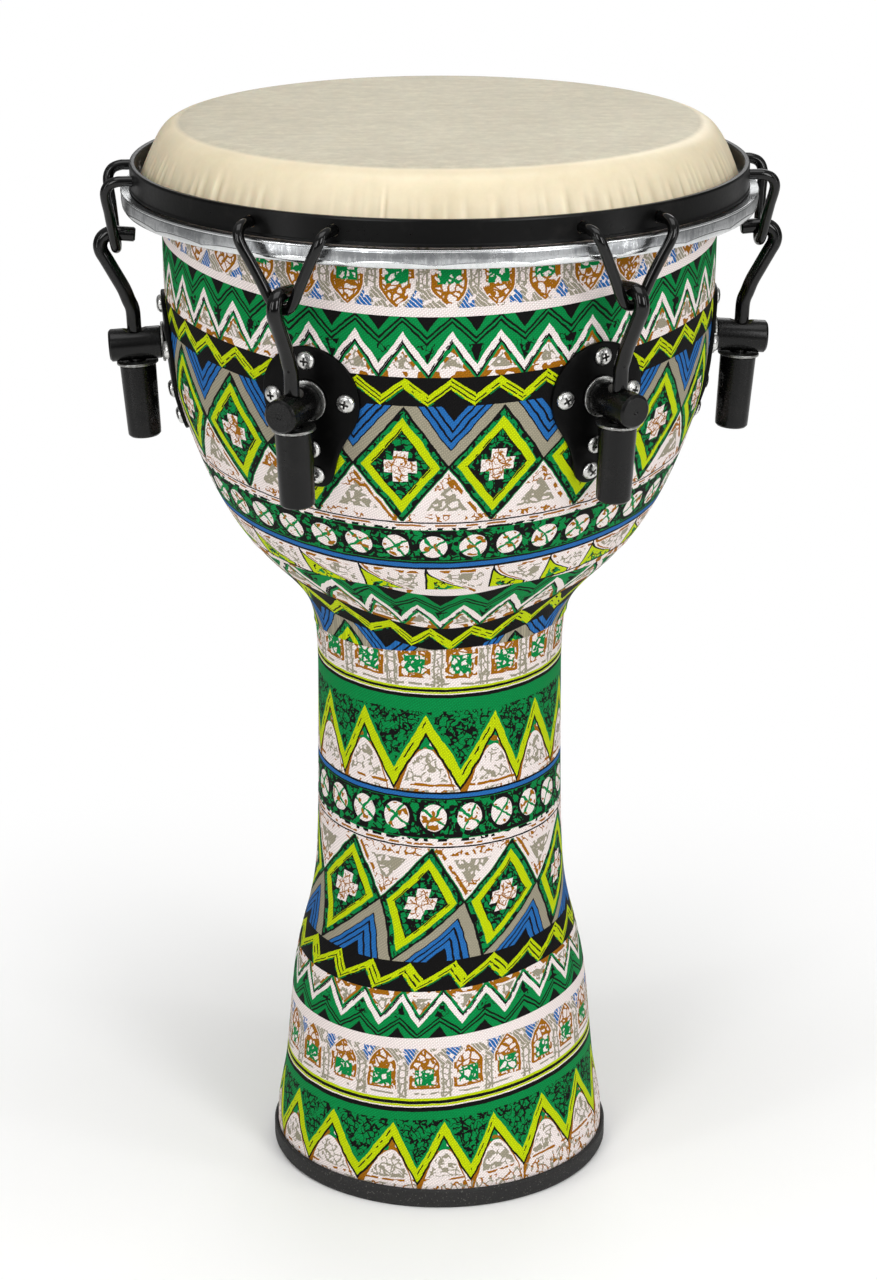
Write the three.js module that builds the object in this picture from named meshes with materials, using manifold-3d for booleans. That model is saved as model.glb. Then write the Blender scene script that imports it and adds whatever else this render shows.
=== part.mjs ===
// Key-tuned djembe: a goblet shell under three glued cloth covers, a rubber foot ring, and a head
// that six tension hooks pull down through a steel counterhoop.
// Frame: millimetres, +Z up along the drum's axis, origin on the floor at the centre of the foot,
// +X to the drum's right and +Y to its back.
import * as THREE from 'three';
import { mergeVertices } from 'three/addons/utils/BufferGeometryUtils.js';
import Module from 'manifold-3d';

const wasm = await Module();
wasm.setup();

const vec = (x, y, z) => new THREE.Vector3(x, y, z);

// ---------------------------------------------------------------- body dimensions
const DRUM_SIDES = 24;            // facets round the drum
const CLOTH_T = 0.9;              // cloth thickness
const GLUE_GAP = 0.4;             // between cloth and shell
const WALL = 6.5;                 // shell wall
const SHELL_LOW_Z = 3.3;
const SEAM_Z = 329;               // where the stem cloth meets the neck cloth
const SEAM_GAP = 0.3;
const NECK_Z = 377;               // where the neck cloth meets the bowl cloth
const NECK_HALF_GAP = 0.2;

const FOOT_R = 98.7;              // rubber foot ring, outer radius
const FOOT_BORE_R = 96.75;        // inside its wall
const FOOT_FLANGE_R = 88;         // inside its flange
const FOOT_H = 11.8;
const FOOT_FLANGE_H = 3;

// outer surface of the cloth: [height, radius]
const STEM = [
  [4, 96.4], [21, 96.4], [36, 93.9], [50, 91.2], [80, 88.7], [109, 85.8], [124, 83.1],
  [139, 79.6], [153, 75.9], [168, 73.1], [183, 71.6], [250, 69.9], [300, 69.5], [315, 69.8],
  [SEAM_Z, 71.2],
];
const BOWL = [
  [SEAM_Z, 71.2], [338, 73.6], [345, 77], [359, 88.5], [374, 103.3], [388.5, 116],
  [410.6, 127.4], [432.6, 136.2], [447, 141.2], [454.7, 143.5], [462, 145.5], [474.6, 147.4],
  [487.2, 148.8], [500, 150], [525, 151.5], [590, 151.7],
];
// heights at which the facets break
const STEM_BREAKS = [4, 21, 50, 109, 139, 168, 250, 315, SEAM_Z];
const BOWL_BREAKS = [SEAM_Z, 345, 374, 388.5, 410.6, 432.6, 454.7, 474.6, 500, 590];
const BORE_BREAKS = [SHELL_LOW_Z, 50, 109, 168, 315, 345, 374, 410.6, 454.7, 500, 590];
// top edge of the shell, from outside to inside: [radius, height]
const SHELL_RIM = [[150.2, 598], [149.2, 603], [147.4, 606.4], [145.4, 608.2], [144, 606.5]];

// ---------------------------------------------------------------- head and hoop dimensions
const HEAD_TOP = 611;             // top of the playing surface
const HEAD_T = 1.1;               // skin thickness at the centre
const HEAD_FLAT_R = 141;          // nearly flat out to here
const HEAD_FALL = 0.1;            // drop of the upper face at that radius
// skirt of the skin, down the outside and back up the inside: [radius, height]
const HEAD_SKIRT = [
  [147.5, 609.3], [152.8, 603], [157.5, 593], [163.6, 577.2],
  [162.6, 576.9], [156.5, 592.6], [151.9, 602.4], [147, 608.3],
];

const FLESH_IN_R = 165.0;         // aluminium flesh hoop
const FLESH_OUT_R = 173.6;
const FLESH_LOW_Z = 565;
const FLESH_TOP_Z = 575.1;
const FLESH_CHAMFER = 1;
const HOOP_IN_R = 165.2;          // counterhoop band
const HOOP_OUT_R = 168.8;
const HOOP_LOW_Z = 575.4;
const HOOP_TOP_Z = 589.5;
const CLIP_HOLE_R = 3.7;

// ---------------------------------------------------------------- lug dimensions
// six lugs, by the side of the drum they are on, as degrees from +X
const LUGS = { right: 0, back_right: 60, back_left: 120, left: 180, front_left: 240, front_right: 300 };
const LUG_TILT = THREE.MathUtils.degToRad(4);   // the lug leans with the bowl wall
const LUG_R = 167.7;              // crossing of rod and post axes: distance from the drum's axis
const LUG_Z = 487.5;              // and height

const POST_R = 9;
const POST_OUT = 14.7;            // from the rod axis to the post's outer end
const POST_IN = 14.1;             // from the rod axis to its shoulder
const POST_CHAMFER = 1;
const POST_SIDES = 8;
const STUD_R = 4;                 // stud that fixes the post through the wall
const STUD_END = -32;             // along the post axis
const STUD_HOLE_R = 5.2;
const POST_WASHER_R = 11;
const POST_WASHER_T = 1.4;
const POST_GAP = 0.3;             // between post and washer

const ROD_R = 4;                  // tension hook, M8 rod
const ROD_SIDES = 8;
const ROD_BORE_R = 4.8;           // bore for the rod in post and nut
const ROD_GAP = 0.35;             // above and below the nut washer
const NUT_WASHER_IN_R = 4.9;
const NUT_WASHER_R = 11.5;
const NUT_WASHER_T = 1.5;
const NUT_WASHER_LOW = -POST_R - ROD_GAP - NUT_WASHER_T;   // along the rod axis
const NUT_TOP = NUT_WASHER_LOW - ROD_GAP;
const NUT_TOP_R = 10;
const NUT_LOW_R = 9.1;
const NUT_LEN = 41;
const NUT_CHAMFER_R = 1.2;        // chamfer at the lower end: radial
const NUT_CHAMFER_H = 1.4;        // and axial
const NUT_SIDES = 12;

const WIRE_R = 2.9;               // V clip wire
const WIRE_SIDES = 6;
const CLIP_HALF = 24;             // half the distance between the clip's two holes
const CLIP_Z = 582.4;             // height of those holes

const PLATE_T = 2;                // teardrop lug plate
const PLATE_GAP = 0.3;            // between plate and the cloth's surface
const PLATE_MID = 1.8;            // centre of the plate's large end, above LUG_Z
const PLATE_TOP_R = 28;
const PLATE_LOW_R = 9.6;
const PLATE_LOW_Z = -39.9;        // centre of the plate's small end, from the large end's
const PLATE_TOP_HALF = 6;         // half width of the flat at the top
const PLATE_MIN_HALF = 3;         // least half width elsewhere
const BEND_R = 151;               // turns tangential distances into angles
const BACKING_T = 2;              // inner backing plate
const BACKING_OFFSET = -12.8;     // its inner face, from the cloth's surface
const BACKING_SHRINK = 2.5;       // its edge, inside the lug plate's

const SCREW_SIDES = 6;
const SHANK_R = 2;
const SHANK_END = -12;            // from the cloth's surface
const SCREW_HEAD_LOW = PLATE_T + 0.7;
const SCREW_HEAD_TOP = SCREW_HEAD_LOW + 2.8;
const SCREW_HEAD_R = 5;
const SCREW_HEAD_TAPER = 0.62;    // top radius over base radius
const SHELL_SCREW_HOLE_R = 2.8;
const PLATE_SCREW_HOLE_R = 2.7;
// screw places: [tangential, above LUG_Z]
const SCREWS = [[0, 22.6], [-21, 1.5], [21, 1.5], [0, -25.4], [0, -40.2]];
// opening in the bowl cloth behind each plate: [tangential, above LUG_Z]
const CLOTH_WINDOW = [
  [-9, 26.4], [-24.5, 6], [-24.5, -4], [-5.5, -44.3],
  [5.5, -44.3], [24.5, -4], [24.5, 6], [9, 26.4],
];

// ---------------------------------------------------------------- finishes
const SHELL_PAINT = { color: 0x23211f, roughness: 0.7, metalness: 0 };
const BOWL_CLOTH = { color: 0x2f8a4e, roughness: 0.85, metalness: 0 };
const STEM_CLOTH = { color: 0x3a8f52, roughness: 0.85, metalness: 0 };
const RUBBER = { color: 0x2e2d2c, roughness: 0.9, metalness: 0 };
const SKIN = { color: 0xd9d0b4, roughness: 0.55, metalness: 0 };
const ALUMINIUM = { color: 0xc9ccce, roughness: 0.25, metalness: 1 };
const BLACK_METAL = { color: 0x191818, roughness: 0.4, metalness: 0.6 };
const ZINC = { color: 0xc3c6c8, roughness: 0.25, metalness: 1 };

// ---------------------------------------------------------------- meshes and solids
// closed mesh with merged corners and outward faces
function closed(geometry) {
  const bare = geometry.clone();
  bare.deleteAttribute('normal');
  bare.deleteAttribute('uv');
  const merged = mergeVertices(bare, 1e-4);
  const corner = (i) => vec().fromBufferAttribute(merged.attributes.position, i);
  const source = merged.index.array;
  const faces = [];
  let volume = 0;
  for (let i = 0; i < source.length; i += 3) {
    const [a, b, c] = source.slice(i, i + 3);
    if (a === b || b === c || a === c) continue;
    faces.push([a, b, c]);
    volume += corner(a).dot(corner(b).cross(corner(c)));
  }
  merged.setIndex(faces.flatMap(([a, b, c]) => (volume < 0 ? [a, c, b] : [a, b, c])));
  return merged;
}

function solid(geometry) {
  const mesh = closed(geometry);
  return new wasm.Manifold(new wasm.Mesh({
    numProp: 3,
    vertProperties: Float32Array.from(mesh.attributes.position.array),
    triVerts: Uint32Array.from(mesh.index.array),
  }));
}

function indexed(positions, indices) {
  const geometry = new THREE.BufferGeometry();
  geometry.setAttribute('position', new THREE.Float32BufferAttribute(positions, 3));
  geometry.setIndex(indices);
  return geometry;
}

function geometryOf(manifold) {
  const mesh = manifold.getMesh();
  return indexed(mesh.vertProperties, Array.from(mesh.triVerts));
}

const subtractAll = (body, cutters) => cutters.reduce((rest, cutter) => rest.subtract(cutter), body);

// subtracts one lug's cutters at every lug
function cutAtLugs(body, cutters) {
  const turnedCutters = Object.values(LUGS)
    .flatMap((degrees) => cutters.map((cutter) => cutter.rotate([0, 0, degrees])));
  return subtractAll(body, turnedCutters);
}

// profile of [radius, height] turned about +Z
function turned(profile, sides = DRUM_SIDES) {
  const geometry = new THREE.LatheGeometry(profile.map(([r, z]) => new THREE.Vector2(r, z)), sides);
  geometry.rotateX(Math.PI / 2);
  return geometry;
}

// the same for a profile that closes on itself away from the axis
const ring = (profile, sides) => turned([...profile, profile[0]], sides);

// moves a turned piece so that its own axis (+Z) runs from seat.at along seat.dir
function seated(geometry, seat) {
  const dir = seat.dir.clone().normalize();
  geometry.applyQuaternion(new THREE.Quaternion().setFromUnitVectors(vec(0, 0, 1), dir));
  geometry.translate(seat.at.x, seat.at.y, seat.at.z);
  return geometry;
}

// cylindrical cutter between two distances along a seat's axis
const drill = (seat, from, to, radius, sides = 6) =>
  solid(seated(turned([[0, from], [radius, from], [radius, to], [0, to]], sides), seat));

// path with one section at each knot, mitred at the bends
class BentPath extends THREE.Curve {
  constructor(points) {
    super();
    this.points = points;
  }

  getPoint(t, target = new THREE.Vector3()) {
    const spans = this.points.length - 1;
    const place = THREE.MathUtils.clamp(t * spans, 0, spans);
    const i = Math.min(Math.floor(place), spans - 1);
    return target.lerpVectors(this.points[i], this.points[i + 1], place - i);
  }

  getSpacedPoints(divisions) {
    return this.getPoints(divisions);
  }

  getTangentAt(u, target = new THREE.Vector3()) {
    const spans = this.points.length - 1;
    const i = Math.round(u * spans);
    const direction = (from) => this.points[from + 1].clone().sub(this.points[from]).normalize();
    target.set(0, 0, 0);
    if (i > 0) target.add(direction(i - 1));
    if (i < spans) target.add(direction(i));
    return target.normalize();
  }
}

function bentRod(points, radius, sides) {
  const section = new THREE.Shape(Array.from({ length: sides }, (_, i) => {
    const angle = (2 * Math.PI * (i + 0.5)) / sides;
    return new THREE.Vector2(radius * Math.cos(angle), radius * Math.sin(angle));
  }));
  return new THREE.ExtrudeGeometry(section, {
    steps: points.length - 1,
    bevelEnabled: false,
    extrudePath: new BentPath(points),
  });
}

// ---------------------------------------------------------------- cloth surface
function radiusAt(z) {
  const outline = z < SEAM_Z ? STEM : BOWL;
  const above = outline.findIndex(([height], i) => i > 0 && z <= height);
  const [lowZ, lowR] = outline[above - 1];
  const [highZ, highR] = outline[above];
  return THREE.MathUtils.mapLinear(z, lowZ, highZ, lowR, highR);
}

// [radius, height] points at a depth under the cloth's surface
const pointsAt = (heights, depth = 0) => heights.map((z) => [radiusAt(z) - depth, z]);

// ---------------------------------------------------------------- lug frame
// A lug's own frame: x away from the drum's axis, y tangential, z up.
const lugCentre = vec(LUG_R, 0, LUG_Z);
const postSeat = { at: lugCentre, dir: vec(Math.cos(LUG_TILT), 0, -Math.sin(LUG_TILT)) };
const rodSeat = { at: lugCentre, dir: vec(Math.sin(LUG_TILT), 0, Math.cos(LUG_TILT)) };
const onAxis = ({ at, dir }, distance) => at.clone().addScaledVector(dir, distance);
const seatOn = (seat, distance) => ({ at: onAxis(seat, distance), dir: seat.dir });

// a screw's seat: its point on the cloth's surface and the outward direction there
function screwSeat([tangential, height]) {
  const z = LUG_Z + height;
  const angle = tangential / BEND_R;
  const radius = radiusAt(z);
  const reach = 3;                // the slope is taken over this much above and below
  const slope = (radiusAt(z + reach) - radiusAt(z - reach)) / (2 * reach);
  return {
    at: vec(radius * Math.cos(angle), radius * Math.sin(angle), z),
    dir: vec(Math.cos(angle), Math.sin(angle), -slope),
  };
}
const screwSeats = SCREWS.map(screwSeat);

const studCutter = () => drill(postSeat, -45, -13, STUD_HOLE_R);
// the five screw holes, from and to measured from the cloth's surface, and the stud's hole
const lugCutters = (radius, from, to) =>
  [...screwSeats.map((seat) => drill(seat, from, to, radius)), studCutter()];

// ---------------------------------------------------------------- drum body
function shell() {
  const clothDepth = CLOTH_T + GLUE_GAP;
  const outside = pointsAt([SHELL_LOW_Z, ...STEM_BREAKS.slice(1, -1), ...BOWL_BREAKS], clothDepth);
  const inside = pointsAt(BORE_BREAKS, clothDepth + WALL).reverse();
  const body = solid(ring([...outside, ...SHELL_RIM, ...inside]));
  return geometryOf(cutAtLugs(body, lugCutters(SHELL_SCREW_HOLE_R, -14, 4)));
}

// cloth cover inward from its outer points
const cover = (points) => ring([...points, ...points.map(([r, z]) => [r - CLOTH_T, z]).reverse()]);

// the stem cloth keeps its seam radius where it stops short of the seam
const stemCover = () =>
  cover(STEM_BREAKS.map((z) => [radiusAt(z), z === SEAM_Z ? z - SEAM_GAP : z]));

const neckCover = () => cover(pointsAt([SEAM_Z, 345, 374, NECK_Z - NECK_HALF_GAP]));

function windowCutter() {
  const outline = new THREE.Shape(CLOTH_WINDOW.map(([x, y]) => new THREE.Vector2(x, y)));
  const geometry = new THREE.ExtrudeGeometry(outline, { depth: 40, bevelEnabled: false });
  geometry.rotateX(Math.PI / 2);  // shape's y becomes z, extrusion towards -y
  geometry.rotateZ(Math.PI / 2);  // extrusion towards +x
  geometry.translate(125, 0, LUG_Z);
  return solid(geometry);
}

function bowlCover() {
  const heights = [NECK_Z + NECK_HALF_GAP, ...BOWL_BREAKS.filter((z) => z > NECK_Z)];
  return geometryOf(cutAtLugs(solid(cover(pointsAt(heights))), [windowCutter()]));
}

// a wall round the cloth and a flange under the shell
const footRing = () => ring([
  [FOOT_FLANGE_R, 0], [FOOT_R, 0], [FOOT_R, FOOT_H],
  [FOOT_BORE_R, FOOT_H], [FOOT_BORE_R, FOOT_FLANGE_H], [FOOT_FLANGE_R, FOOT_FLANGE_H],
]);

// ---------------------------------------------------------------- head and hoops
const headSkin = () => turned([
  [0, HEAD_TOP], [HEAD_FLAT_R, HEAD_TOP - HEAD_FALL],
  ...HEAD_SKIRT,
  [HEAD_FLAT_R, HEAD_TOP - HEAD_T], [0, HEAD_TOP - HEAD_T],
]);

const fleshHoop = () => ring([
  [FLESH_IN_R, FLESH_LOW_Z], [FLESH_OUT_R - FLESH_CHAMFER, FLESH_LOW_Z],
  [FLESH_OUT_R, FLESH_LOW_Z + FLESH_CHAMFER], [FLESH_OUT_R, FLESH_TOP_Z],
  [FLESH_IN_R, FLESH_TOP_Z],
]);

function counterhoop() {
  const band = solid(ring([
    [HOOP_IN_R, HOOP_LOW_Z], [HOOP_OUT_R, HOOP_LOW_Z],
    [HOOP_OUT_R, HOOP_TOP_Z], [HOOP_IN_R, HOOP_TOP_Z],
  ]));
  const holes = [-CLIP_HALF, CLIP_HALF].map((y) =>
    drill({ at: vec(0, y, CLIP_Z), dir: vec(1, 0, 0) }, 150, 180, CLIP_HOLE_R, 8));
  return geometryOf(cutAtLugs(band, holes));
}

// ---------------------------------------------------------------- lug pieces
// Teardrop sheet bent to the bowl: offset is from the cloth's surface to its inner face,
// shrink is how far its edge lies inside the lug plate's.
function teardrop(offset, thickness, shrink) {
  const topR = PLATE_TOP_R - shrink;
  const lowR = PLATE_LOW_R - shrink;
  // straight flanks touch both end circles
  const flankSin = (topR - lowR) / -PLATE_LOW_Z;
  const flankCos = Math.sqrt(1 - flankSin * flankSin);
  const flankTop = -topR * flankSin;
  const flankLow = PLATE_LOW_Z - lowR * flankSin;
  const chord = (radius, h) => Math.sqrt(Math.max(radius * radius - h * h, 0));
  const halfWidth = (h) => {
    if (h >= flankTop) return chord(topR, h);
    if (h <= flankLow) return chord(lowR, h - PLATE_LOW_Z);
    // the fraction's span runs past flankLow, to as far above the small end's centre
    const fraction = (flankTop - h) / (flankTop - PLATE_LOW_Z + lowR * flankSin);
    return flankCos * (topR + fraction * (lowR - topR));
  };
  const rows = [topR, topR * 0.72, 0, -topR * 0.42,
    PLATE_LOW_Z, PLATE_LOW_Z - lowR * 0.75, PLATE_LOW_Z - lowR];
  const columns = [-1, 0, 1];

  const positions = [];
  for (const face of [0, 1]) {    // 0 inner, 1 outer
    rows.forEach((h, i) => {
      const half = Math.max(halfWidth(h), i === 0 ? PLATE_TOP_HALF : PLATE_MIN_HALF);
      const z = LUG_Z + PLATE_MID + h;
      const radius = radiusAt(z) + offset + face * thickness;
      for (const side of columns) {
        const angle = (side * half) / BEND_R;
        positions.push(radius * Math.cos(angle), radius * Math.sin(angle), z);
      }
    });
  }

  const lastRow = rows.length - 1;
  const lastCol = columns.length - 1;
  const at = (face, i, j) => (face * rows.length + i) * columns.length + j;
  const indices = [];
  const quad = (a, b, c, d) => indices.push(a, b, c, a, c, d);
  for (let i = 0; i < lastRow; i++) {
    for (let j = 0; j < lastCol; j++) {
      quad(at(1, i, j), at(1, i + 1, j), at(1, i + 1, j + 1), at(1, i, j + 1));
      quad(at(0, i, j + 1), at(0, i + 1, j + 1), at(0, i + 1, j), at(0, i, j));
    }
    quad(at(0, i, 0), at(0, i + 1, 0), at(1, i + 1, 0), at(1, i, 0));
    quad(at(1, i, lastCol), at(1, i + 1, lastCol), at(0, i + 1, lastCol), at(0, i, lastCol));
  }
  for (let j = 0; j < lastCol; j++) {
    quad(at(0, 0, j + 1), at(0, 0, j), at(1, 0, j), at(1, 0, j + 1));
    quad(at(0, lastRow, j), at(0, lastRow, j + 1), at(1, lastRow, j + 1), at(1, lastRow, j));
  }
  return indexed(positions, indices);
}

const lugPlate = () => geometryOf(subtractAll(
  solid(teardrop(PLATE_GAP, PLATE_T, 0)),
  lugCutters(PLATE_SCREW_HOLE_R, -4, 8),
));

// inner backing plate, with the five screws that are threaded into it through the wall
function lugScrews() {
  const sheet = solid(teardrop(BACKING_OFFSET, BACKING_T, BACKING_SHRINK));
  const screw = [
    [0, SHANK_END], [SHANK_R, SHANK_END], [SHANK_R, SCREW_HEAD_LOW], [SCREW_HEAD_R, SCREW_HEAD_LOW],
    [SCREW_HEAD_R * SCREW_HEAD_TAPER, SCREW_HEAD_TOP], [0, SCREW_HEAD_TOP],
  ];
  return geometryOf(screwSeats.reduce(
    (body, seat) => body.add(solid(seated(turned(screw, SCREW_SIDES), seat))),
    sheet.subtract(studCutter()),
  ));
}

// turned bar with a chamfered end, a stud through the wall, and a cross hole for the rod
function lugPost() {
  const bar = turned([
    [0, STUD_END], [STUD_R, STUD_END], [STUD_R, -POST_IN], [POST_R, -POST_IN],
    [POST_R, POST_OUT - POST_CHAMFER], [POST_R - POST_CHAMFER, POST_OUT], [0, POST_OUT],
  ], POST_SIDES);
  // the cross hole flares at its top
  const crossHole = turned(
    [[0, -12], [ROD_BORE_R, -12], [ROD_BORE_R, 7], [7.5, 10.5], [0, 10.5]],
    POST_SIDES,
  );
  return geometryOf(solid(seated(bar, postSeat)).subtract(solid(seated(crossHole, rodSeat))));
}

const washer = (inR, outR, thickness, seat) =>
  seated(ring([[inR, 0], [outR, 0], [outR, thickness], [inR, thickness]], 8), seat);

const postWasher = () => washer(STUD_HOLE_R, POST_WASHER_R, POST_WASHER_T,
  seatOn(postSeat, -POST_IN - POST_GAP - POST_WASHER_T));

const nutWasher = () => washer(NUT_WASHER_IN_R, NUT_WASHER_R, NUT_WASHER_T,
  seatOn(rodSeat, NUT_WASHER_LOW));

// tapered tube, open for the rod at the top and for a key at the bottom
const tuningNut = () => seated(ring([
  [ROD_BORE_R, 0], [NUT_TOP_R, 0], [NUT_LOW_R, -NUT_LEN + NUT_CHAMFER_H],
  [NUT_LOW_R - NUT_CHAMFER_R, -NUT_LEN], [ROD_BORE_R, -NUT_LEN],
], NUT_SIDES), seatOn(rodSeat, NUT_TOP));

// straight rod, outward kink, tight return bend and a short leg pointing back at the drum
function tensionHook() {
  const bends = [                 // [x, z]
    [170.9, 512], [173.3, 518.2], [182.8, 535.6], [184.9, 539.4], [185.5, 543],
    [184.0, 546.9], [180.8, 549.1], [177.6, 549.4], [166.2, 548.5],
  ];
  const path = [onAxis(rodSeat, -38), onAxis(rodSeat, 20), ...bends.map(([x, z]) => vec(x, 0, z))];
  return bentRod(path, ROD_R, ROD_SIDES);
}

// two legs through the counterhoop, bent down and meeting under the hook's leg
function vClip() {
  const leg = [
    vec(164.5, CLIP_HALF, CLIP_Z),
    vec(174.2, CLIP_HALF, CLIP_Z - 0.2),
    vec(178.6, CLIP_HALF - 0.4, CLIP_Z - 2),
    vec(180.8, CLIP_HALF - 1.6, CLIP_Z - 6),
    vec(177.5, 6.6, 547),
    vec(176.9, 3.6, 543),
  ];
  const otherLeg = leg.map(({ x, y, z }) => vec(x, -y, z)).reverse();
  return bentRod([...leg, vec(176.8, 0, 541.7), ...otherLeg], WIRE_R, WIRE_SIDES);
}

// ---------------------------------------------------------------- assembly
const group = new THREE.Group();

function piece(name, geometry, finish, parent = group) {
  const mesh = new THREE.Mesh(closed(geometry), new THREE.MeshStandardMaterial(finish));
  mesh.geometry.computeVertexNormals();
  mesh.name = name;
  parent.add(mesh);
}

piece('shell', shell(), SHELL_PAINT);
piece('bowl_cover', bowlCover(), BOWL_CLOTH);
piece('neck_cover', neckCover(), BOWL_CLOTH);
piece('stem_cover', stemCover(), STEM_CLOTH);
piece('foot_ring', footRing(), RUBBER);
piece('head_skin', headSkin(), SKIN);
piece('flesh_hoop', fleshHoop(), ALUMINIUM);
piece('counterhoop', counterhoop(), BLACK_METAL);

const LUG_PIECES = [
  ['lug_plate', lugPlate(), BLACK_METAL],
  ['lug_screws', lugScrews(), ZINC],
  ['lug_post', lugPost(), BLACK_METAL],
  ['post_washer', postWasher(), ZINC],
  ['tension_hook', tensionHook(), BLACK_METAL],
  ['v_clip', vClip(), BLACK_METAL],
  ['nut_washer', nutWasher(), ZINC],
  ['tuning_nut', tuningNut(), BLACK_METAL],
];
for (const [side, degrees] of Object.entries(LUGS)) {
  const lug = new THREE.Group();
  lug.rotation.z = THREE.MathUtils.degToRad(degrees);
  group.add(lug);
  for (const [name, geometry, finish] of LUG_PIECES) piece(`${name}_${side}`, geometry, finish, lug);
}

export default group;
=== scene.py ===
"""Key-tuned djembe with printed cloth covers, in a white studio.

The drum stands on z = 0 about the z axis. Its front faces -y and its right-hand side is +x.
Lengths are in millimetres, turned into metres when a mesh is made. Shader distances, lights
and the camera are in metres.
"""
import math
import random
from typing import Callable, NamedTuple
import bpy
import bmesh
import numpy as np
from mathutils import Vector, Matrix


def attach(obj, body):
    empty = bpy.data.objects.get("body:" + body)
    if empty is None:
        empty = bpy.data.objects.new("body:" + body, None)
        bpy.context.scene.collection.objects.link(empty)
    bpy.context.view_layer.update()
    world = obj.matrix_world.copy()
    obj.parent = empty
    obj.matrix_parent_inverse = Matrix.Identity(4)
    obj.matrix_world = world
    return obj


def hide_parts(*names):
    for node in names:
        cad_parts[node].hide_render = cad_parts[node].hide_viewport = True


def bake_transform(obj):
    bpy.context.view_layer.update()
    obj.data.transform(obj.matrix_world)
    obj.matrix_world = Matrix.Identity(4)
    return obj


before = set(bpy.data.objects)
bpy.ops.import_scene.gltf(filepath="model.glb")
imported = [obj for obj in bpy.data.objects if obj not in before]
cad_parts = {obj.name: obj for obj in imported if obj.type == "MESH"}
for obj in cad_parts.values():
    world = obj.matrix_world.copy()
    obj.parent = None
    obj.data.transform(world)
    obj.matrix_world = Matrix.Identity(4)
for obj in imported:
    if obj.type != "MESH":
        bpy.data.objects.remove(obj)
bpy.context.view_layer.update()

MM = 0.001
random.seed(7)
RNG = np.random.default_rng(7)
# Lug positions in degrees, counter-clockwise from +x seen from above
LUGS = {"right": 0, "back_right": 60, "back_left": 120,
        "left": 180, "front_left": 240, "front_right": 300}
TURN = 3.4      # the print's zero line and the camera stand this many degrees left of the front


# ------------------------------------------------------------------ shader helpers
def srgb(*rgb):
    """Linear colour from 0..255 sRGB."""
    linear = []
    for channel in rgb:
        channel = channel / 255.0
        linear.append(channel / 12.92 if channel <= 0.04045
                      else ((channel + 0.055) / 1.055) ** 2.4)
    return tuple(linear) + (1.0,)


def operator(kind, swapped=False):
    def apply(self, other):
        pair = (other, self) if swapped else (self, other)
        return self.nodes.calc(kind, *pair)
    return apply


class Value:
    """A node output usable in arithmetic. Comparisons give 0/1 masks; & and | combine masks."""
    __add__ = operator("ADD")
    __sub__ = operator("SUBTRACT")
    __rsub__ = operator("SUBTRACT", swapped=True)
    __mul__ = operator("MULTIPLY")
    __and__ = operator("MULTIPLY")
    __or__ = operator("MAXIMUM")
    __truediv__ = operator("DIVIDE")
    __lt__ = operator("LESS_THAN")
    __gt__ = operator("GREATER_THAN")

    def __init__(self, nodes, socket):
        self.nodes = nodes
        self.socket = socket

    def __abs__(self):
        return self.nodes.calc("ABSOLUTE", self)


def near(value, centre, within):
    return value.nodes.calc("COMPARE", value, centre, within)


def fract(value):
    return value.nodes.calc("FRACT", value)


def distance(x, y):
    return x.nodes.calc("SQRT", x * x + y * y)


def choose(mask, yes, no):
    node = mask.nodes.node("ShaderNodeMix", data_type="FLOAT")
    for index, value in ((0, mask), (2, no), (3, yes)):
        mask.nodes.put(node.inputs[index], value)
    return Value(mask.nodes, node.outputs[0])


def layers(ground, *painted):
    """Value of the last (mask, value) pair whose mask is 1, or else the ground."""
    result = ground
    for mask, value in painted:
        result = choose(mask, value, result)
    return result


def mix_color(amount, first, second):
    node = amount.nodes.node("ShaderNodeMix", data_type="RGBA")
    for index, value in ((0, amount), (6, first), (7, second)):
        amount.nodes.put(node.inputs[index], value)
    return node.outputs[2]


def remap(value, source, target, **props):
    """Map the source range (low, high) to the target range."""
    node = value.nodes.node("ShaderNodeMapRange", **props)
    value.nodes.put(node.inputs[0], value)
    for index, limit in enumerate((*source, *target)):
        node.inputs[index + 1].default_value = limit
    return Value(value.nodes, node.outputs[0])


class Nodes:
    """An emptied node tree and ways to fill it."""

    def __init__(self, tree):
        self.tree = tree
        tree.nodes.clear()

    def node(self, kind, **props):
        node = self.tree.nodes.new(kind)
        for name, value in props.items():
            setattr(node, name, value)
        return node

    def put(self, socket, value):
        """Link a value or an output to a socket, or set a plain value on it."""
        if isinstance(value, Value):
            value = value.socket
        if isinstance(value, bpy.types.NodeSocket):
            self.tree.links.new(value, socket)
        else:
            socket.default_value = value

    def calc(self, operation, *operands):
        node = self.node("ShaderNodeMath", operation=operation)
        for index, value in enumerate(operands):
            self.put(node.inputs[index], value)
        return Value(self, node.outputs[0])

    def split(self, socket, kind="ShaderNodeSeparateXYZ"):
        node = self.node(kind)
        self.put(node.inputs[0], socket)
        return [Value(self, output) for output in node.outputs]


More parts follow.
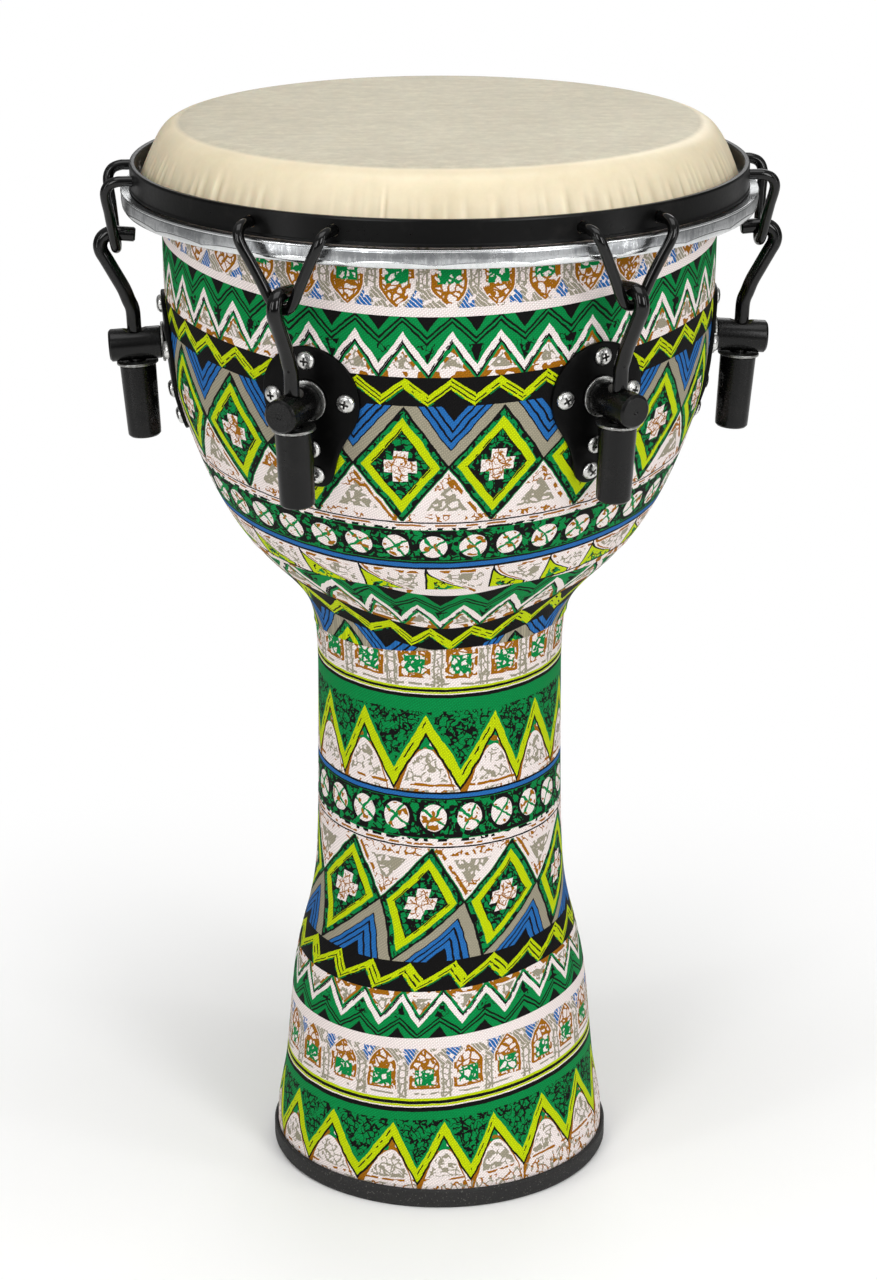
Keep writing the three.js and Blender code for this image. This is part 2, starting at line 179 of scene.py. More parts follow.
class Shader(Nodes):
    """A material with a principled surface."""

    def __init__(self, name):
        self.material = bpy.data.materials.new(name)
        self.material.use_nodes = True
        super().__init__(self.material.node_tree)
        self.output = self.node("ShaderNodeOutputMaterial")
        self.surface = self.node("ShaderNodeBsdfPrincipled")
        self.put(self.output.inputs[0], self.surface.outputs[0])
        self.position = self.node("ShaderNodeTexCoord").outputs["Object"]

    def set(self, **inputs):
        """Set surface inputs (underscores stand for spaces) and return the material."""
        for name, value in inputs.items():
            self.put(self.surface.inputs[name.replace("_", " ")], value)
        return self.material

    def noise_outputs(self, scale, detail=2.0, rough=0.5, vector=None):
        node = self.node("ShaderNodeTexNoise")
        node.inputs["Scale"].default_value = scale
        node.inputs["Detail"].default_value = detail
        node.inputs["Roughness"].default_value = rough
        self.put(node.inputs["Vector"], vector or self.position)
        return node.outputs

    def noise(self, scale, detail=2.0, rough=0.5, vector=None):
        return Value(self, self.noise_outputs(scale, detail, rough, vector)[0])

    def voronoi(self, scale, feature="F1", vector=None):
        node = self.node("ShaderNodeTexVoronoi", feature=feature)
        node.inputs["Scale"].default_value = scale
        self.put(node.inputs["Vector"], vector or self.position)
        return Value(self, node.outputs[0])

    def stretched(self, scale, rotation=(0.0, 0.0, 0.0)):
        node = self.node("ShaderNodeMapping")
        node.inputs["Scale"].default_value = scale
        node.inputs["Rotation"].default_value = rotation
        self.put(node.inputs["Vector"], self.position)
        return node.outputs[0]

    def scaled(self, vector, factor):
        node = self.node("ShaderNodeVectorMath", operation="SCALE")
        self.put(node.inputs[0], vector)
        self.put(node.inputs["Scale"], factor)
        return node.outputs[0]

    def ramp(self, amount, stops, mode="LINEAR"):
        node = self.node("ShaderNodeValToRGB")
        node.color_ramp.interpolation = mode
        elements = node.color_ramp.elements
        elements[0].position, elements[0].color = stops[0]
        elements[1].position, elements[1].color = stops[1]
        for position, color in stops[2:]:
            elements.new(position).color = color
        self.put(node.inputs[0], amount)
        return node.outputs[0]

    def bump(self, height, distance, strength):
        node = self.node("ShaderNodeBump")
        node.inputs["Strength"].default_value = strength
        node.inputs["Distance"].default_value = distance
        self.put(node.inputs["Height"], height)
        return node.outputs[0]


# ------------------------------------------------------------------ printed cloth
WHITE, GREEN, BLACK, LIME, BROWN, BLUE, TAUPE, DEEP = range(8)
INKS = [srgb(228, 217, 214), srgb(0, 126, 62), srgb(13, 12, 12), srgb(180, 199, 0),
        srgb(150, 94, 10), srgb(34, 98, 164), srgb(146, 140, 121), srgb(12, 78, 44)]


class Band(Shader):
    """One kind of printed band. UV map "Cloth" holds repeats round the drum and millimetres
    across the band; UV map "Thread" holds millimetres along both directions of the weave."""

    def __init__(self, name, pitch, warp):
        """pitch: length of a repeat; warp: how far hand-drawn edges wander; both in mm"""
        super().__init__("Cloth " + name)
        self.pitch = pitch
        self.wander = self.noise_outputs(scale=95.0, detail=5.0, rough=0.56)["Color"]
        around, across, _ = self.uv("Cloth")
        red, green = self.split(self.wander, "ShaderNodeSeparateColor")[:2]
        self.repeats = around + (red - 0.5) * (warp / pitch)
        self.y = across + (green - 0.5) * warp
        self.phase = fract(self.repeats + 0.5) - 0.5        # -0.5..0.5, 0 on the middle
        self.away = abs(self.phase) * 2.0                   # 0 on the middle, 1 between repeats
        self.peak = 1.0 - self.away
        self.x = self.phase * pitch
        # two noise fields whose levels draw scribbles and break lines
        self.scribble = self.noise(scale=250.0, detail=1.2)
        self.gaps = self.noise(scale=170.0, detail=1.0)

    def uv(self, name):
        return self.split(self.node("ShaderNodeUVMap", uv_map=name).outputs[0])

    def lines(self, width):
        return near(self.scribble, 0.5, width)

    def cells(self, scale=215.0):
        """Distance to the walls of hand-drawn cells, in cells."""
        add = self.node("ShaderNodeVectorMath", operation="ADD")
        self.put(add.inputs[0], self.position)
        self.put(add.inputs[1], self.scaled(self.wander, 0.009))
        return self.voronoi(scale, feature="DISTANCE_TO_EDGE", vector=add.outputs[0])

    def finish(self, ink):
        """Colour by ink number, with a weave of two thread directions."""
        stops = [(i / 8.0, color) for i, color in enumerate(INKS)]
        color = self.ramp((ink + 0.5) / 8.0, stops, "CONSTANT")
        along, down, _ = self.uv("Thread")
        slub = (self.scribble - 0.5) * 0.9
        warp_pitch, weft_pitch = 1.75, 1.65
        warp = self.calc("SINE", (along * 0.8 + down + slub) * (2 * math.pi / warp_pitch))
        weft = self.calc("SINE", (along - down * 0.75 + slub) * (2 * math.pi / weft_pitch))
        height = warp * weft * 0.55 + warp * 0.3 + weft * 0.15
        patches = self.noise(scale=14.0)
        # shade: the weave's height paints shade in the thread valleys and a highlight on the
        # raised threads; patches vary the tone at random
        shade = (height * 0.42 + 0.96) * (patches * 0.14 + 0.93)
        return self.set(
            Base_Color=self.scaled(color, shade),
            Roughness=height * -0.05 + 0.7,
            Specular_IOR_Level=0.08,
            Normal=self.bump(height + self.scribble * 0.3, distance=0.00014, strength=0.6))


# In the prints, numbers beside x, y and offset are millimetres; those beside scribble, gaps
# and cells set how much of the broken drawing shows. Later layers cover earlier ones.
def zigzag_print():
    band = Band("green and white zigzag", pitch=24.5, warp=2.8)
    y, peak, scribble, gaps = band.y, band.peak, band.scribble, band.gaps
    offset = y - (28.0 - peak * 17.7)                       # from the white zigzag line
    inner = offset > 6.0
    pebbles = (offset > 8.6) & (y < 27.5)
    return band.finish(layers(
        GREEN,
        (y + peak * 17.4 < 7.8, BLACK),                     # black points
        (near(y + peak * 11.2, 11.2, 0.75) | near(y + peak * 11.6, 14.3, 0.75), BLACK),
        ((y > 14.6) & (y + peak * 34.0 < 25.0) & (scribble > 0.49), BLACK),
        ((y > 14.2) & (offset < -3.4) & near(gaps, 0.5, 0.014), BLACK),
        (offset > 0.0, choose((offset < 4.3) & (gaps > 0.44), BLACK, GREEN)),
        (near(offset, 0.0, 2.6), WHITE),                    # the line itself
        (near(offset, 1.9, 0.6) & (band.phase < 0.0) & (scribble > 0.47), BLACK),
        (inner, WHITE),                                     # triangles under the line
        (inner & (offset < 8.6) & (scribble > 0.5), BROWN),
        (inner & (y > 28.9) & (gaps + band.away * 0.1 > 0.55), BROWN),
        (pebbles & ((band.cells() < 0.11) | (gaps > 0.56)), TAUPE)))


def zigzag_line_print():
    band = Band("lime line on black", pitch=24.5, warp=2.2)
    phase, gaps = band.phase, band.gaps
    offset = band.y - (12.3 - band.peak * 9.0)
    first_half = phase < 0.0
    single = first_half & near(offset, 0.9, 0.45) & (gaps > 0.42)
    double = (phase > 0.0) & near(abs(offset), 1.3, 0.42) & (gaps > 0.46)
    return band.finish(layers(
        BLACK,
        (near(offset, 0.0, choose(first_half, 2.5, 3.3)), LIME),
        (single | double, BLACK),                           # broken lines inside the lime
        (near(offset, 3.3, 0.4) & (band.scribble > 0.5), GREEN)))


def diamond_print():
    band = Band("diamonds", pitch=52.0, warp=2.6)
    y, scribble, gaps = band.y, band.scribble, band.gaps
    height = abs(y) / 33.0
    size = band.peak + height           # 1 on the diamond's outline, less inside
    beyond = size - 1.0
    x = (fract(band.repeats) - 0.5) * band.pitch
    cells = band.cells()
    x_away, y_away = abs(x), abs(y)
    cross = (x_away < 8.9) & (y_away < 3.5) | (x_away < 4.0) & (y_away < 8.9)
    blue_rings = (near(beyond, 0.362, 0.058) | near(beyond, 0.533, 0.06)
                  | near(beyond, 0.708, 0.062))
    above = layers(TAUPE, (beyond > 0.272, BLACK), (blue_rings, BLUE))
    pebbles = (beyond > 0.33) & (height < 0.79)
    below = layers(
        WHITE,
        (beyond < 0.045, GREEN),
        (near(beyond, 0.16, 0.045) & (band.phase > 0.0) & (gaps > 0.47), BROWN),
        ((height < 0.42) & (beyond > 0.1) & ((scribble > 0.56) | (cells < 0.06)), BROWN),
        (pebbles & ((cells < 0.16) | (gaps > 0.56)), TAUPE),
        ((height > 0.86) & near(scribble, 0.5, 0.05) & (gaps > 0.47), BROWN))
    return band.finish(layers(
        GREEN,
        (near(size, 0.725, 0.105), LIME),                   # lime ring
        (near(size, 0.655, 0.018) & (x * y < 0.0) & (gaps > 0.48), BLACK),
        ((size < 0.6) & ((scribble > 0.545) | (cells < 0.075)), BLACK),
        (near(size, 0.61, 0.012), BLACK),
        ((size > 0.855) & (band.lines(0.035) | (gaps > 0.585)), BLACK),
        (cross, WHITE),
        (cross & ((cells < 0.07) | near(scribble, 0.5, 0.016)) & (x_away + y_away < 9.5), BROWN),
        (size > 0.952, BLACK),                              # outline
        (beyond > 0.018, choose(y > 0.0, above, below))))


def white_lines_print():
    band = Band("white with broken lines", pitch=24.5, warp=1.4)
    y = band.y
    return band.finish(layers(
        WHITE,
        (near(y, 0.6, 0.42), BLACK),
        (near(y, 2.3, 0.6) & (band.gaps > 0.48), BROWN),
        ((y > 3.7) & (band.scribble > 0.49), BLACK),
        (y > 5.2, GREEN)))


def circle_print():
    band = Band("discs", pitch=20.3, warp=2.2)
    x, y, scribble, gaps = band.x, band.y, band.scribble, band.gaps
    radius = distance(x, y)
    disc = radius < 7.2
    strokes = (near(x * 0.82 + y * 0.58, (gaps - 0.5) * 4.5, 0.72)
               | near(x * 0.55 - y * 0.83, (scribble - 0.5) * 3.0, 0.72))
    return band.finish(layers(
        GREEN,
        ((band.cells() < 0.1) & (gaps > 0.4) | (scribble > 0.585), BLACK),
        (near(radius, 8.2, 1.1) & (gaps > 0.46), BLACK),
        ((abs(y) > 8.9) & (gaps > 0.47), BLACK),
        (disc, WHITE),
        (disc & strokes, GREEN),                            # two crossing strokes
        ((radius < 6.7) & (scribble > 0.6), BROWN)))


def blue_print():
    band = Band("blue stripe", pitch=24.5, warp=1.2)
    return band.finish(layers(BLACK, (near(band.y, 2.8, 1.35), BLUE), (band.y < 0.3, GREEN)))


def great_zigzag_print():
    band = Band("large lime zigzag", pitch=35.0, warp=3.0)
    x, y, scribble, gaps = band.x, band.y, band.scribble, band.gaps
    offset = y - (48.0 - band.peak * 33.0)                  # from the lime line
    cells = band.cells()
    drawn = (offset < -8.2) & (y > 7.6)
    inner = offset > 5.3
    dome = x * x * 0.13 + 29.5                              # arched edge
    over = inner & (y < dome)
    inside = (y > dome + 2.4) & (offset > 8.0)
    return band.finish(layers(
        GREEN,
        (drawn & ((cells < 0.095) & (gaps > 0.44) | band.lines(0.028)), BLACK),
        (near(offset, 0.0, 5.3), LIME),
        (near(offset, -1.2, 0.8) & (band.phase < 0.0) & (gaps > 0.49), BLACK),
        (inner, WHITE),
        (over & ((x < 1.8) | (y > dome - 2.6)), choose((y < 30.0) & (gaps > 0.485), GREEN, BROWN)),
        (inside & (y < 49.5) & (cells < 0.085) & (scribble > 0.44), TAUPE),
        (inside & (y < 49.0) & (gaps > 0.6), TAUPE),
        (inner & near(y, 51.3, 0.8) & (gaps > 0.5), BROWN),
        ((y > 54.0) & (cells < 0.1) & (gaps > 0.46), choose(scribble > 0.5, BROWN, TAUPE)),
        (near(offset, 6.0, 1.25), BLACK)))


def leaf_print():
    band = Band("leaves", pitch=36.0, warp=2.2)
    scribble, gaps = band.scribble, band.gaps
    y = band.calc("MAXIMUM", band.y, 0.0)
    x = fract(band.repeats) * band.pitch
    curve = band.calc("POWER", band.calc("MINIMUM", y, 14.8) / 14.8, 1.8) * 24.0
    cells = band.cells()
    offset = x - curve                                      # from the spike's curved edge
    veins = (cells < 0.085) & (scribble > 0.43) | (gaps > 0.6)
    leaf = layers(
        WHITE,
        (near(offset, 2.6, 0.7) & (gaps > 0.47), BROWN),
        (near(y, 1.9, 0.9) & (offset > 2.0) & (gaps > 0.49), BROWN),
        ((offset > 5.5) & (x < 31.5) & (y > 3.4) & veins, TAUPE))
    spike = layers(
        LIME,
        ((y > 8.0) & (x > 4.5) & (offset < -3.0) & (scribble > 0.52), GREEN),
        ((y > 9.0) & (x < 17.0) & (x > 4.0) & (cells < 0.08) & (gaps > 0.5), BLACK))
    return band.finish(layers(
        leaf,
        (offset < 0.0, spike),
        (near(band.x, 0.2, 0.6) | near(offset, 0.0, 0.75) & (y > 0.3), BLACK),
        (y > 16.6, choose(near(y, 17.1, 0.5), BLACK, choose(gaps > 0.53, BROWN, WHITE)))))


def line_print():
    band = Band("lime and black lines", pitch=24.5, warp=1.1)
    y = band.y
    return band.finish(layers(
        WHITE,
        (near(y, 1.0, 0.75) | near(y, 4.3, 0.6), LIME),
        (near(y, 2.7, 0.95) | near(y, 7.0, 1.35), BLACK),
        (y > 8.3, GREEN)))


def shield_print():
    band = Band("shields", pitch=24.6, warp=2.8)
    x, y, scribble, gaps = band.x, band.y, band.scribble, band.gaps
    taper = band.calc("MAXIMUM", y - 18.0, 0.0) / 11.8
    x_away = abs(x)
    size = x_away / 8.4 + band.calc("POWER", taper, 1.7)    # 1 on the shield's outline
    cells = band.cells(235.0)
    corner = near(y, 24.4, 5.2) & (size > 1.08)
    triangle = (x < 0.0) & (y + abs(x_away - 9.2) * -1.9 > 20.0)
    side = layers(
        TAUPE,
        (triangle | (x < -10.5) & (y > 25.0), BLUE),
        (fract(x * 0.42 + y * 0.36 + (gaps - 0.5)) < 0.2, WHITE))   # slanting stripes
    shield = layers(
        WHITE,
        ((cells < 0.13) | (size > 0.8), BROWN),
        ((size > 0.8) & (gaps < 0.42), WHITE),
        ((size < 0.66) & (y < 17.0) & (y > 7.4) & ((cells < 0.15) | (scribble > 0.55)), GREEN),
        ((y < 6.4) & (gaps > 0.44), BROWN))
    return band.finish(layers(
        WHITE,
        ((x_away > 9.0) & (y < 19.5) & (near(x_away, 10.4, 0.5) | (cells < 0.085)), TAUPE),
        (near(y, 2.6, 0.55) & (gaps > 0.46), TAUPE),
        (corner & (scribble > 0.42), side),
        ((size < 1.0) & (y > 5.2), shield)))


def white_print():
    band = Band("plain white", pitch=24.5, warp=1.6)
    return band.finish(layers(WHITE, (band.gaps > 0.66, BROWN)))


# A cloth's material slots follow the alphabetical order of these names
PRINTS = {"zigzag": zigzag_print(), "zigzag line": zigzag_line_print(),
          "diamonds": diamond_print(), "white lines": white_lines_print(),
          "circles": circle_print(), "blue": blue_print(), "great zigzag": great_zigzag_print(),
          "lines": line_print(), "leaves": leaf_print(), "shields": shield_print(),
          "white": white_print()}


# ------------------------------------------------------------------ other materials
def powder_coat(name, base, rough, peel, grain, specular):
    """Dusty black coating; peel is the depth and grain the scale of its texture."""
    s = Shader(name)
    broad = s.noise(scale=18.0, detail=3.0)
    fine = s.noise(scale=grain)
    dust = s.noise(scale=60.0, detail=6.0, rough=0.7)
    texture = fine + s.noise(scale=240.0, detail=1.0) * 0.8
    return s.set(
        Base_Color=mix_color(remap(dust, (0.55, 0.78), (0.0, 0.22)),
                             srgb(*base), srgb(48, 46, 44)),
        Roughness=remap(broad * 0.6 + fine * 0.4, (0.3, 0.7), (rough - 0.06, rough + 0.07)),
        Metallic=0.0,
        Specular_IOR_Level=specular,
        Normal=s.bump(texture, distance=peel, strength=0.35))


def worn_metal(name, base, rough):
    s = Shader(name)
    wear = s.noise(scale=600.0, detail=3.0, rough=0.6)
    return s.set(
        Base_Color=mix_color(remap(wear, (0.45, 0.62), (0.0, 0.6)),
                             srgb(*base), srgb(96, 92, 86)),
        Roughness=remap(wear, (0.3, 0.7), (rough - 0.08, rough + 0.18)),
        Metallic=1.0,
        Normal=s.bump(wear, distance=0.00004, strength=0.4))


def zinc_plate():
    s = Shader("Zinc plate")
    cloud = s.noise(scale=420.0, detail=4.0, rough=0.6)
    grains = s.voronoi(scale=900.0)
    return s.set(
        Base_Color=mix_color(remap(cloud, (0.42, 0.7), (0.0, 0.55)),
                             srgb(214, 214, 212), srgb(150, 148, 142)),
        Roughness=remap(cloud * 0.7 + grains * 0.3, (0.25, 0.65), (0.17, 0.34)),
        Metallic=1.0,
        Normal=s.bump(cloud + grains * 0.3, distance=0.00005, strength=0.4))


def aluminium(name, base, dull, rough, blotches):
    """Aluminium with upright streaks; blotches is the strength of the dark patches."""
    s = Shader(name)
    tall = s.stretched(scale=(1.0, 1.0, 0.22))
    streak = s.noise(scale=520.0, detail=3.0, rough=0.6, vector=tall)
    blotch = s.noise(scale=62.0, detail=4.0, rough=0.6)
    fine = s.noise(scale=1500.0, detail=1.0)
    dark = remap(blotch * 0.6 + streak * 0.4, (0.44, 0.56), (0.0, 1.0))
    color = mix_color(remap(fine, (0.3, 0.7), (0.0, 0.25)), srgb(*base), srgb(*dull))
    return s.set(
        Base_Color=mix_color(dark * blotches, color, srgb(96, 99, 102)),
        Metallic=1.0,
        Roughness=remap(streak * 0.6 + fine * 0.4, (0.3, 0.7), (rough - 0.05, rough + 0.09)),
        Normal=s.bump(streak * 0.3 + blotch, distance=0.00003, strength=0.25))


def foot_rubber():
    s = Shader("Foot rubber")
    grain = s.noise(scale=1400.0, detail=3.0, rough=0.6)
    specks = s.noise(scale=900.0, detail=1.0) > 0.68
    dust = s.noise(scale=35.0, detail=5.0, rough=0.65)
    color = mix_color(remap(dust, (0.45, 0.75), (0.0, 0.3)), srgb(20, 19, 19), srgb(37, 35, 34))
    return s.set(
        Base_Color=mix_color(specks * 0.35, color, srgb(120, 116, 110)),
        Roughness=remap(grain, (0.3, 0.7), (0.66, 0.86)),
        Normal=s.bump(grain, distance=0.00012, strength=0.5))


def moulded_shell():
    s = Shader("Moulded shell")
    grain = s.noise(scale=160.0, detail=6.0, rough=0.65)
    cells = s.voronoi(scale=240.0)
    return s.set(
        Base_Color=mix_color(remap(grain, (0.35, 0.7), (0.0, 1.0)),
                             srgb(38, 35, 32), srgb(62, 57, 51)),
        Roughness=remap(grain, (0.3, 0.7), (0.6, 0.85)),
        Normal=s.bump(grain + cells * 0.4, distance=0.0006, strength=0.5))


def head_film():
    """Mottled playing area, and a cream collar with painted shade in its fold grooves and a
    painted highlight on its fold ridges, both from the mesh's "Fold" attribute.
    """
    s = Shader("Head film")
    x, y, _ = s.split(s.position)
    radius = distance(x, y)
    edge = s.noise(scale=26.0, detail=4.0, rough=0.6)
    flat = remap(radius + (edge - 0.5) * 0.0016, (0.1408, 0.1438), (1.0, 0.0))
    cloud = s.noise(scale=9.0, detail=5.0, rough=0.6)
    mottle = s.noise(scale=150.0, detail=6.0, rough=0.72)
    slanted = s.stretched(scale=(1.0, 7.0, 1.0), rotation=(0.0, 0.0, 0.35))
    streak = s.noise(scale=34.0, detail=4.0, rough=0.6, vector=slanted)
    playing = s.ramp(mottle * 0.55 + cloud * 0.25 + streak * 0.2,
                     [(0.36, srgb(158, 149, 127)), (0.5, srgb(175, 167, 145)),
                      (0.62, srgb(190, 183, 161))])
    cream = s.ramp(cloud * 0.45 + s.noise(scale=40.0, detail=3.0) * 0.3 + mottle * 0.25,
                   [(0.36, srgb(206, 192, 162)), (0.64, srgb(222, 208, 179))])
    attribute = s.node("ShaderNodeAttribute", attribute_name="Fold")
    fold = Value(s, attribute.outputs["Fac"])
    # painted shade: the collar turns tan in the fold grooves
    cream = mix_color(remap(fold, (0.05, -0.75), (0.0, 0.6)), cream, srgb(164, 148, 112))
    # painted highlight: the collar turns pale on the fold ridges
    cream = mix_color(remap(fold, (0.1, 0.9), (0.0, 0.6)), cream, srgb(240, 228, 198))
    relief = mottle * flat * 0.8 + s.noise(scale=60.0, detail=3.0) * 0.5
    return s.set(
        Base_Color=mix_color(flat, cream, playing),
        Roughness=choose(flat, remap(mottle, (0.3, 0.7), (0.5, 0.68)),
                         remap(cloud, (0.3, 0.7), (0.34, 0.46))),
        Subsurface_Weight=0.12,
        Subsurface_Scale=0.004,
        Normal=s.bump(relief, distance=0.00018, strength=0.4))


BLACK_HARDWARE = powder_coat("Black hardware", base=(6, 6, 6), rough=0.25, peel=0.00006,
                             grain=900.0, specular=0.25)
BLACK_PLATE = powder_coat("Black plate", base=(5, 5, 5), rough=0.36, peel=0.00008,
                          grain=700.0, specular=0.07)
BLACK_HOOP = powder_coat("Black hoop", base=(6, 6, 6), rough=0.32, peel=0.00012,
                         grain=520.0, specular=0.15)
BLACK_ROD = powder_coat("Black rod", base=(5, 5, 5), rough=0.13, peel=0.00001,
                        grain=1100.0, specular=0.32)
# Grey metal on the walls of the counterhoop's clip holes and at the posts' flared hole mouths: a
# painted highlight on those edges.
EDGE_HIGHLIGHT = worn_metal("Painted edge highlight", base=(140, 138, 134), rough=0.34)
DARK_STEEL = worn_metal("Dark steel", base=(92, 90, 88), rough=0.38)
ZINC = zinc_plate()
PLAIN_WASHER = worn_metal("Plain washer", base=(158, 159, 157), rough=0.28)
# Smoother, lighter copy for the flesh hoop's lips and pressed lower third; its lighter colour is a
# painted highlight on them.
POLISHED_AND_HIGHLIT = aluminium("Polished aluminium", base=(226, 228, 229), dull=(196, 198, 199),
                     rough=0.2, blotches=0.12)
BRUSHED = aluminium("Brushed aluminium", base=(190, 192, 194), dull=(164, 167, 169),
                    rough=0.27, blotches=0.55)
RUBBER = foot_rubber()
MOULDED = moulded_shell()
FILM = head_film()


# ------------------------------------------------------------------ mesh helpers
# A shape is a pair (vertices, faces).
def face_outward(mesh):
    bm = bmesh.new()
    bm.from_mesh(mesh)
    bmesh.ops.recalc_face_normals(bm, faces=bm.faces)
    bm.to_mesh(mesh)
    bm.free()


def weld_mesh(mesh, gap):
    bm = bmesh.new()
    bm.from_mesh(mesh)
    bmesh.ops.remove_doubles(bm, verts=bm.verts, dist=gap)
    bmesh.ops.dissolve_degenerate(bm, edges=bm.edges, dist=1e-8)
    bm.to_mesh(mesh)
    bm.free()


def make(name, shape, materials, slots=None, uvs=None, smooth=True, sharp=None, weld=0.0,
         outward=True):
    """Object from a shape; slots per face, uvs per face corner, sharp in degrees, weld in m."""
    verts, faces = shape
    mesh = bpy.data.meshes.new(name)
    mesh.from_pydata([tuple(v) for v in (np.asarray(verts, float) * MM)], [],
                     [list(face) for face in faces])
    for material in materials:
        mesh.materials.append(material)
    if slots is not None:
        mesh.polygons.foreach_set("material_index", np.asarray(slots, np.int32))
    for layer, coords in (uvs or {}).items():
        data = mesh.uv_layers.new(name=layer).data
        data.foreach_set("uv", np.asarray(coords, np.float32).ravel())
    if weld:
        weld_mesh(mesh, weld)
    mesh.polygons.foreach_set("use_smooth", [smooth] * len(mesh.polygons))
    if sharp:
        mesh.set_sharp_from_angle(angle=math.radians(sharp))
    mesh.update()
    ob = bpy.data.objects.new(name, mesh)
    bpy.context.scene.collection.objects.link(ob)
    if outward:
        face_outward(mesh)
    return ob


def mesh_points(mesh):
    """Vertex positions in millimetres."""
    coords = np.zeros(len(mesh.vertices) * 3)
    mesh.vertices.foreach_get("co", coords)
    return coords.reshape(-1, 3) / MM


def fillet(points, steps=4):
    """Round the corners of an open line of (radius, height, rounding)."""
    line = []
    for i, (a, b, rounding) in enumerate(points):
        if rounding <= 0 or i in (0, len(points) - 1):
            line.append((a, b))
            continue
        corner = np.array([a, b], float)
        before = np.array(points[i - 1][:2], float) - corner
        after = np.array(points[i + 1][:2], float) - corner
        before_length, after_length = np.linalg.norm(before), np.linalg.norm(after)
        before, after = before / before_length, after / after_length
        angle = math.acos(max(-1, min(1, float(before @ after))))
        if angle > math.pi - 1e-3:
            line.append((a, b))
            continue
        reach = min(rounding / math.tan(angle / 2), 0.48 * before_length, 0.48 * after_length)
        first, last = corner + before * reach, corner + after * reach
        for j in range(steps + 1):
            w = j / steps
            point = (1 - w) ** 2 * first + 2 * w * (1 - w) * corner + w ** 2 * last
            line.append((float(point[0]), float(point[1])))
    return line


def ring_fillet(points, steps=4):
    """As fillet, for a closed outline."""
    ring = [points[-1]] + list(points) + [points[0]]
    outline = []
    for before, corner, after in zip(ring, ring[1:], ring[2:]):
        outline += fillet([before[:2] + (0,), corner, after[:2] + (0,)], steps)[1:-1]
    return outline


def lathe(profile, sides, closed=True, wobble=None):
    """Turn a profile of (radius, height) about z; wobble(angles, radii, heights) moves points."""
    angles = np.linspace(0, 2 * math.pi, sides, endpoint=False)
    verts, rings = [], []
    for r, z in np.array(profile, float):
        if r < 1e-6:
            rings.append([len(verts)] * sides)
            verts.append((0.0, 0.0, z))
            continue
        radii, heights = np.full(sides, r), np.full(sides, z)
        if wobble is not None:
            radii, heights = wobble(angles, radii, heights)
        rings.append(list(range(len(verts), len(verts) + sides)))
        verts += list(zip(radii * np.cos(angles), radii * np.sin(angles), heights))
    faces = []
    for i in range(len(rings) if closed else len(rings) - 1):
        this, other = rings[i], rings[(i + 1) % len(rings)]
        for j in range(sides):
            k = (j + 1) % sides
            face = [this[j], this[k], other[k], other[j]]
            face = [face[q] for q in range(4) if face[q] != face[q - 1]]
            if len(face) > 2:
                faces.append(face)
    return np.array(verts, float), faces


def frame_matrix(x, y, z, at):
    matrix = np.eye(4)
    for column, axis in enumerate((x, y, z, at)):
        matrix[:3, column] = axis
    return matrix


def moved(shape, matrix):
    verts = np.asarray(shape[0], float)
    return verts @ matrix[:3, :3].T + matrix[:3, 3], shape[1]


def spun(shape, degrees):
    """Turn a shape about the drum's axis."""
    angle = math.radians(degrees)
    x, y, z = shape[0].T
    turned = [x * math.cos(angle) - y * math.sin(angle),
              x * math.sin(angle) + y * math.cos(angle), z]
    return np.stack(turned, -1), shape[1]


def unit(vector):
    return vector / np.linalg.norm(vector)


def spline(knots, step):
    """Smooth line through the knots (centripetal Catmull-Rom)."""
    knots = np.array(knots, float)
    knots = np.vstack([2 * knots[0] - knots[1], knots, 2 * knots[-1] - knots[-2]])
    line = []
    for i in range(1, len(knots) - 2):
        four = knots[i - 1:i + 3]
        times = [0.0]
        for a, b in zip(four, four[1:]):
            times.append(times[-1] + max(np.linalg.norm(b - a), 1e-6) ** 0.5)
        count = max(2, int(np.linalg.norm(four[2] - four[1]) / step))
        for time in np.linspace(times[1], times[2], count, endpoint=False):
            points = list(four)
            for spans in (((0, 1), (1, 2), (2, 3)), ((0, 2), (1, 3)), ((1, 2),)):
                blended = []
                for (low, high), a, b in zip(spans, points, points[1:]):
                    early, late = times[low], times[high]
                    blended.append((late - time) / (late - early) * a
                                   + (time - early) / (late - early) * b)
                points = blended
            line.append(points[0])
    line.append(knots[-2])
    return np.array(line)


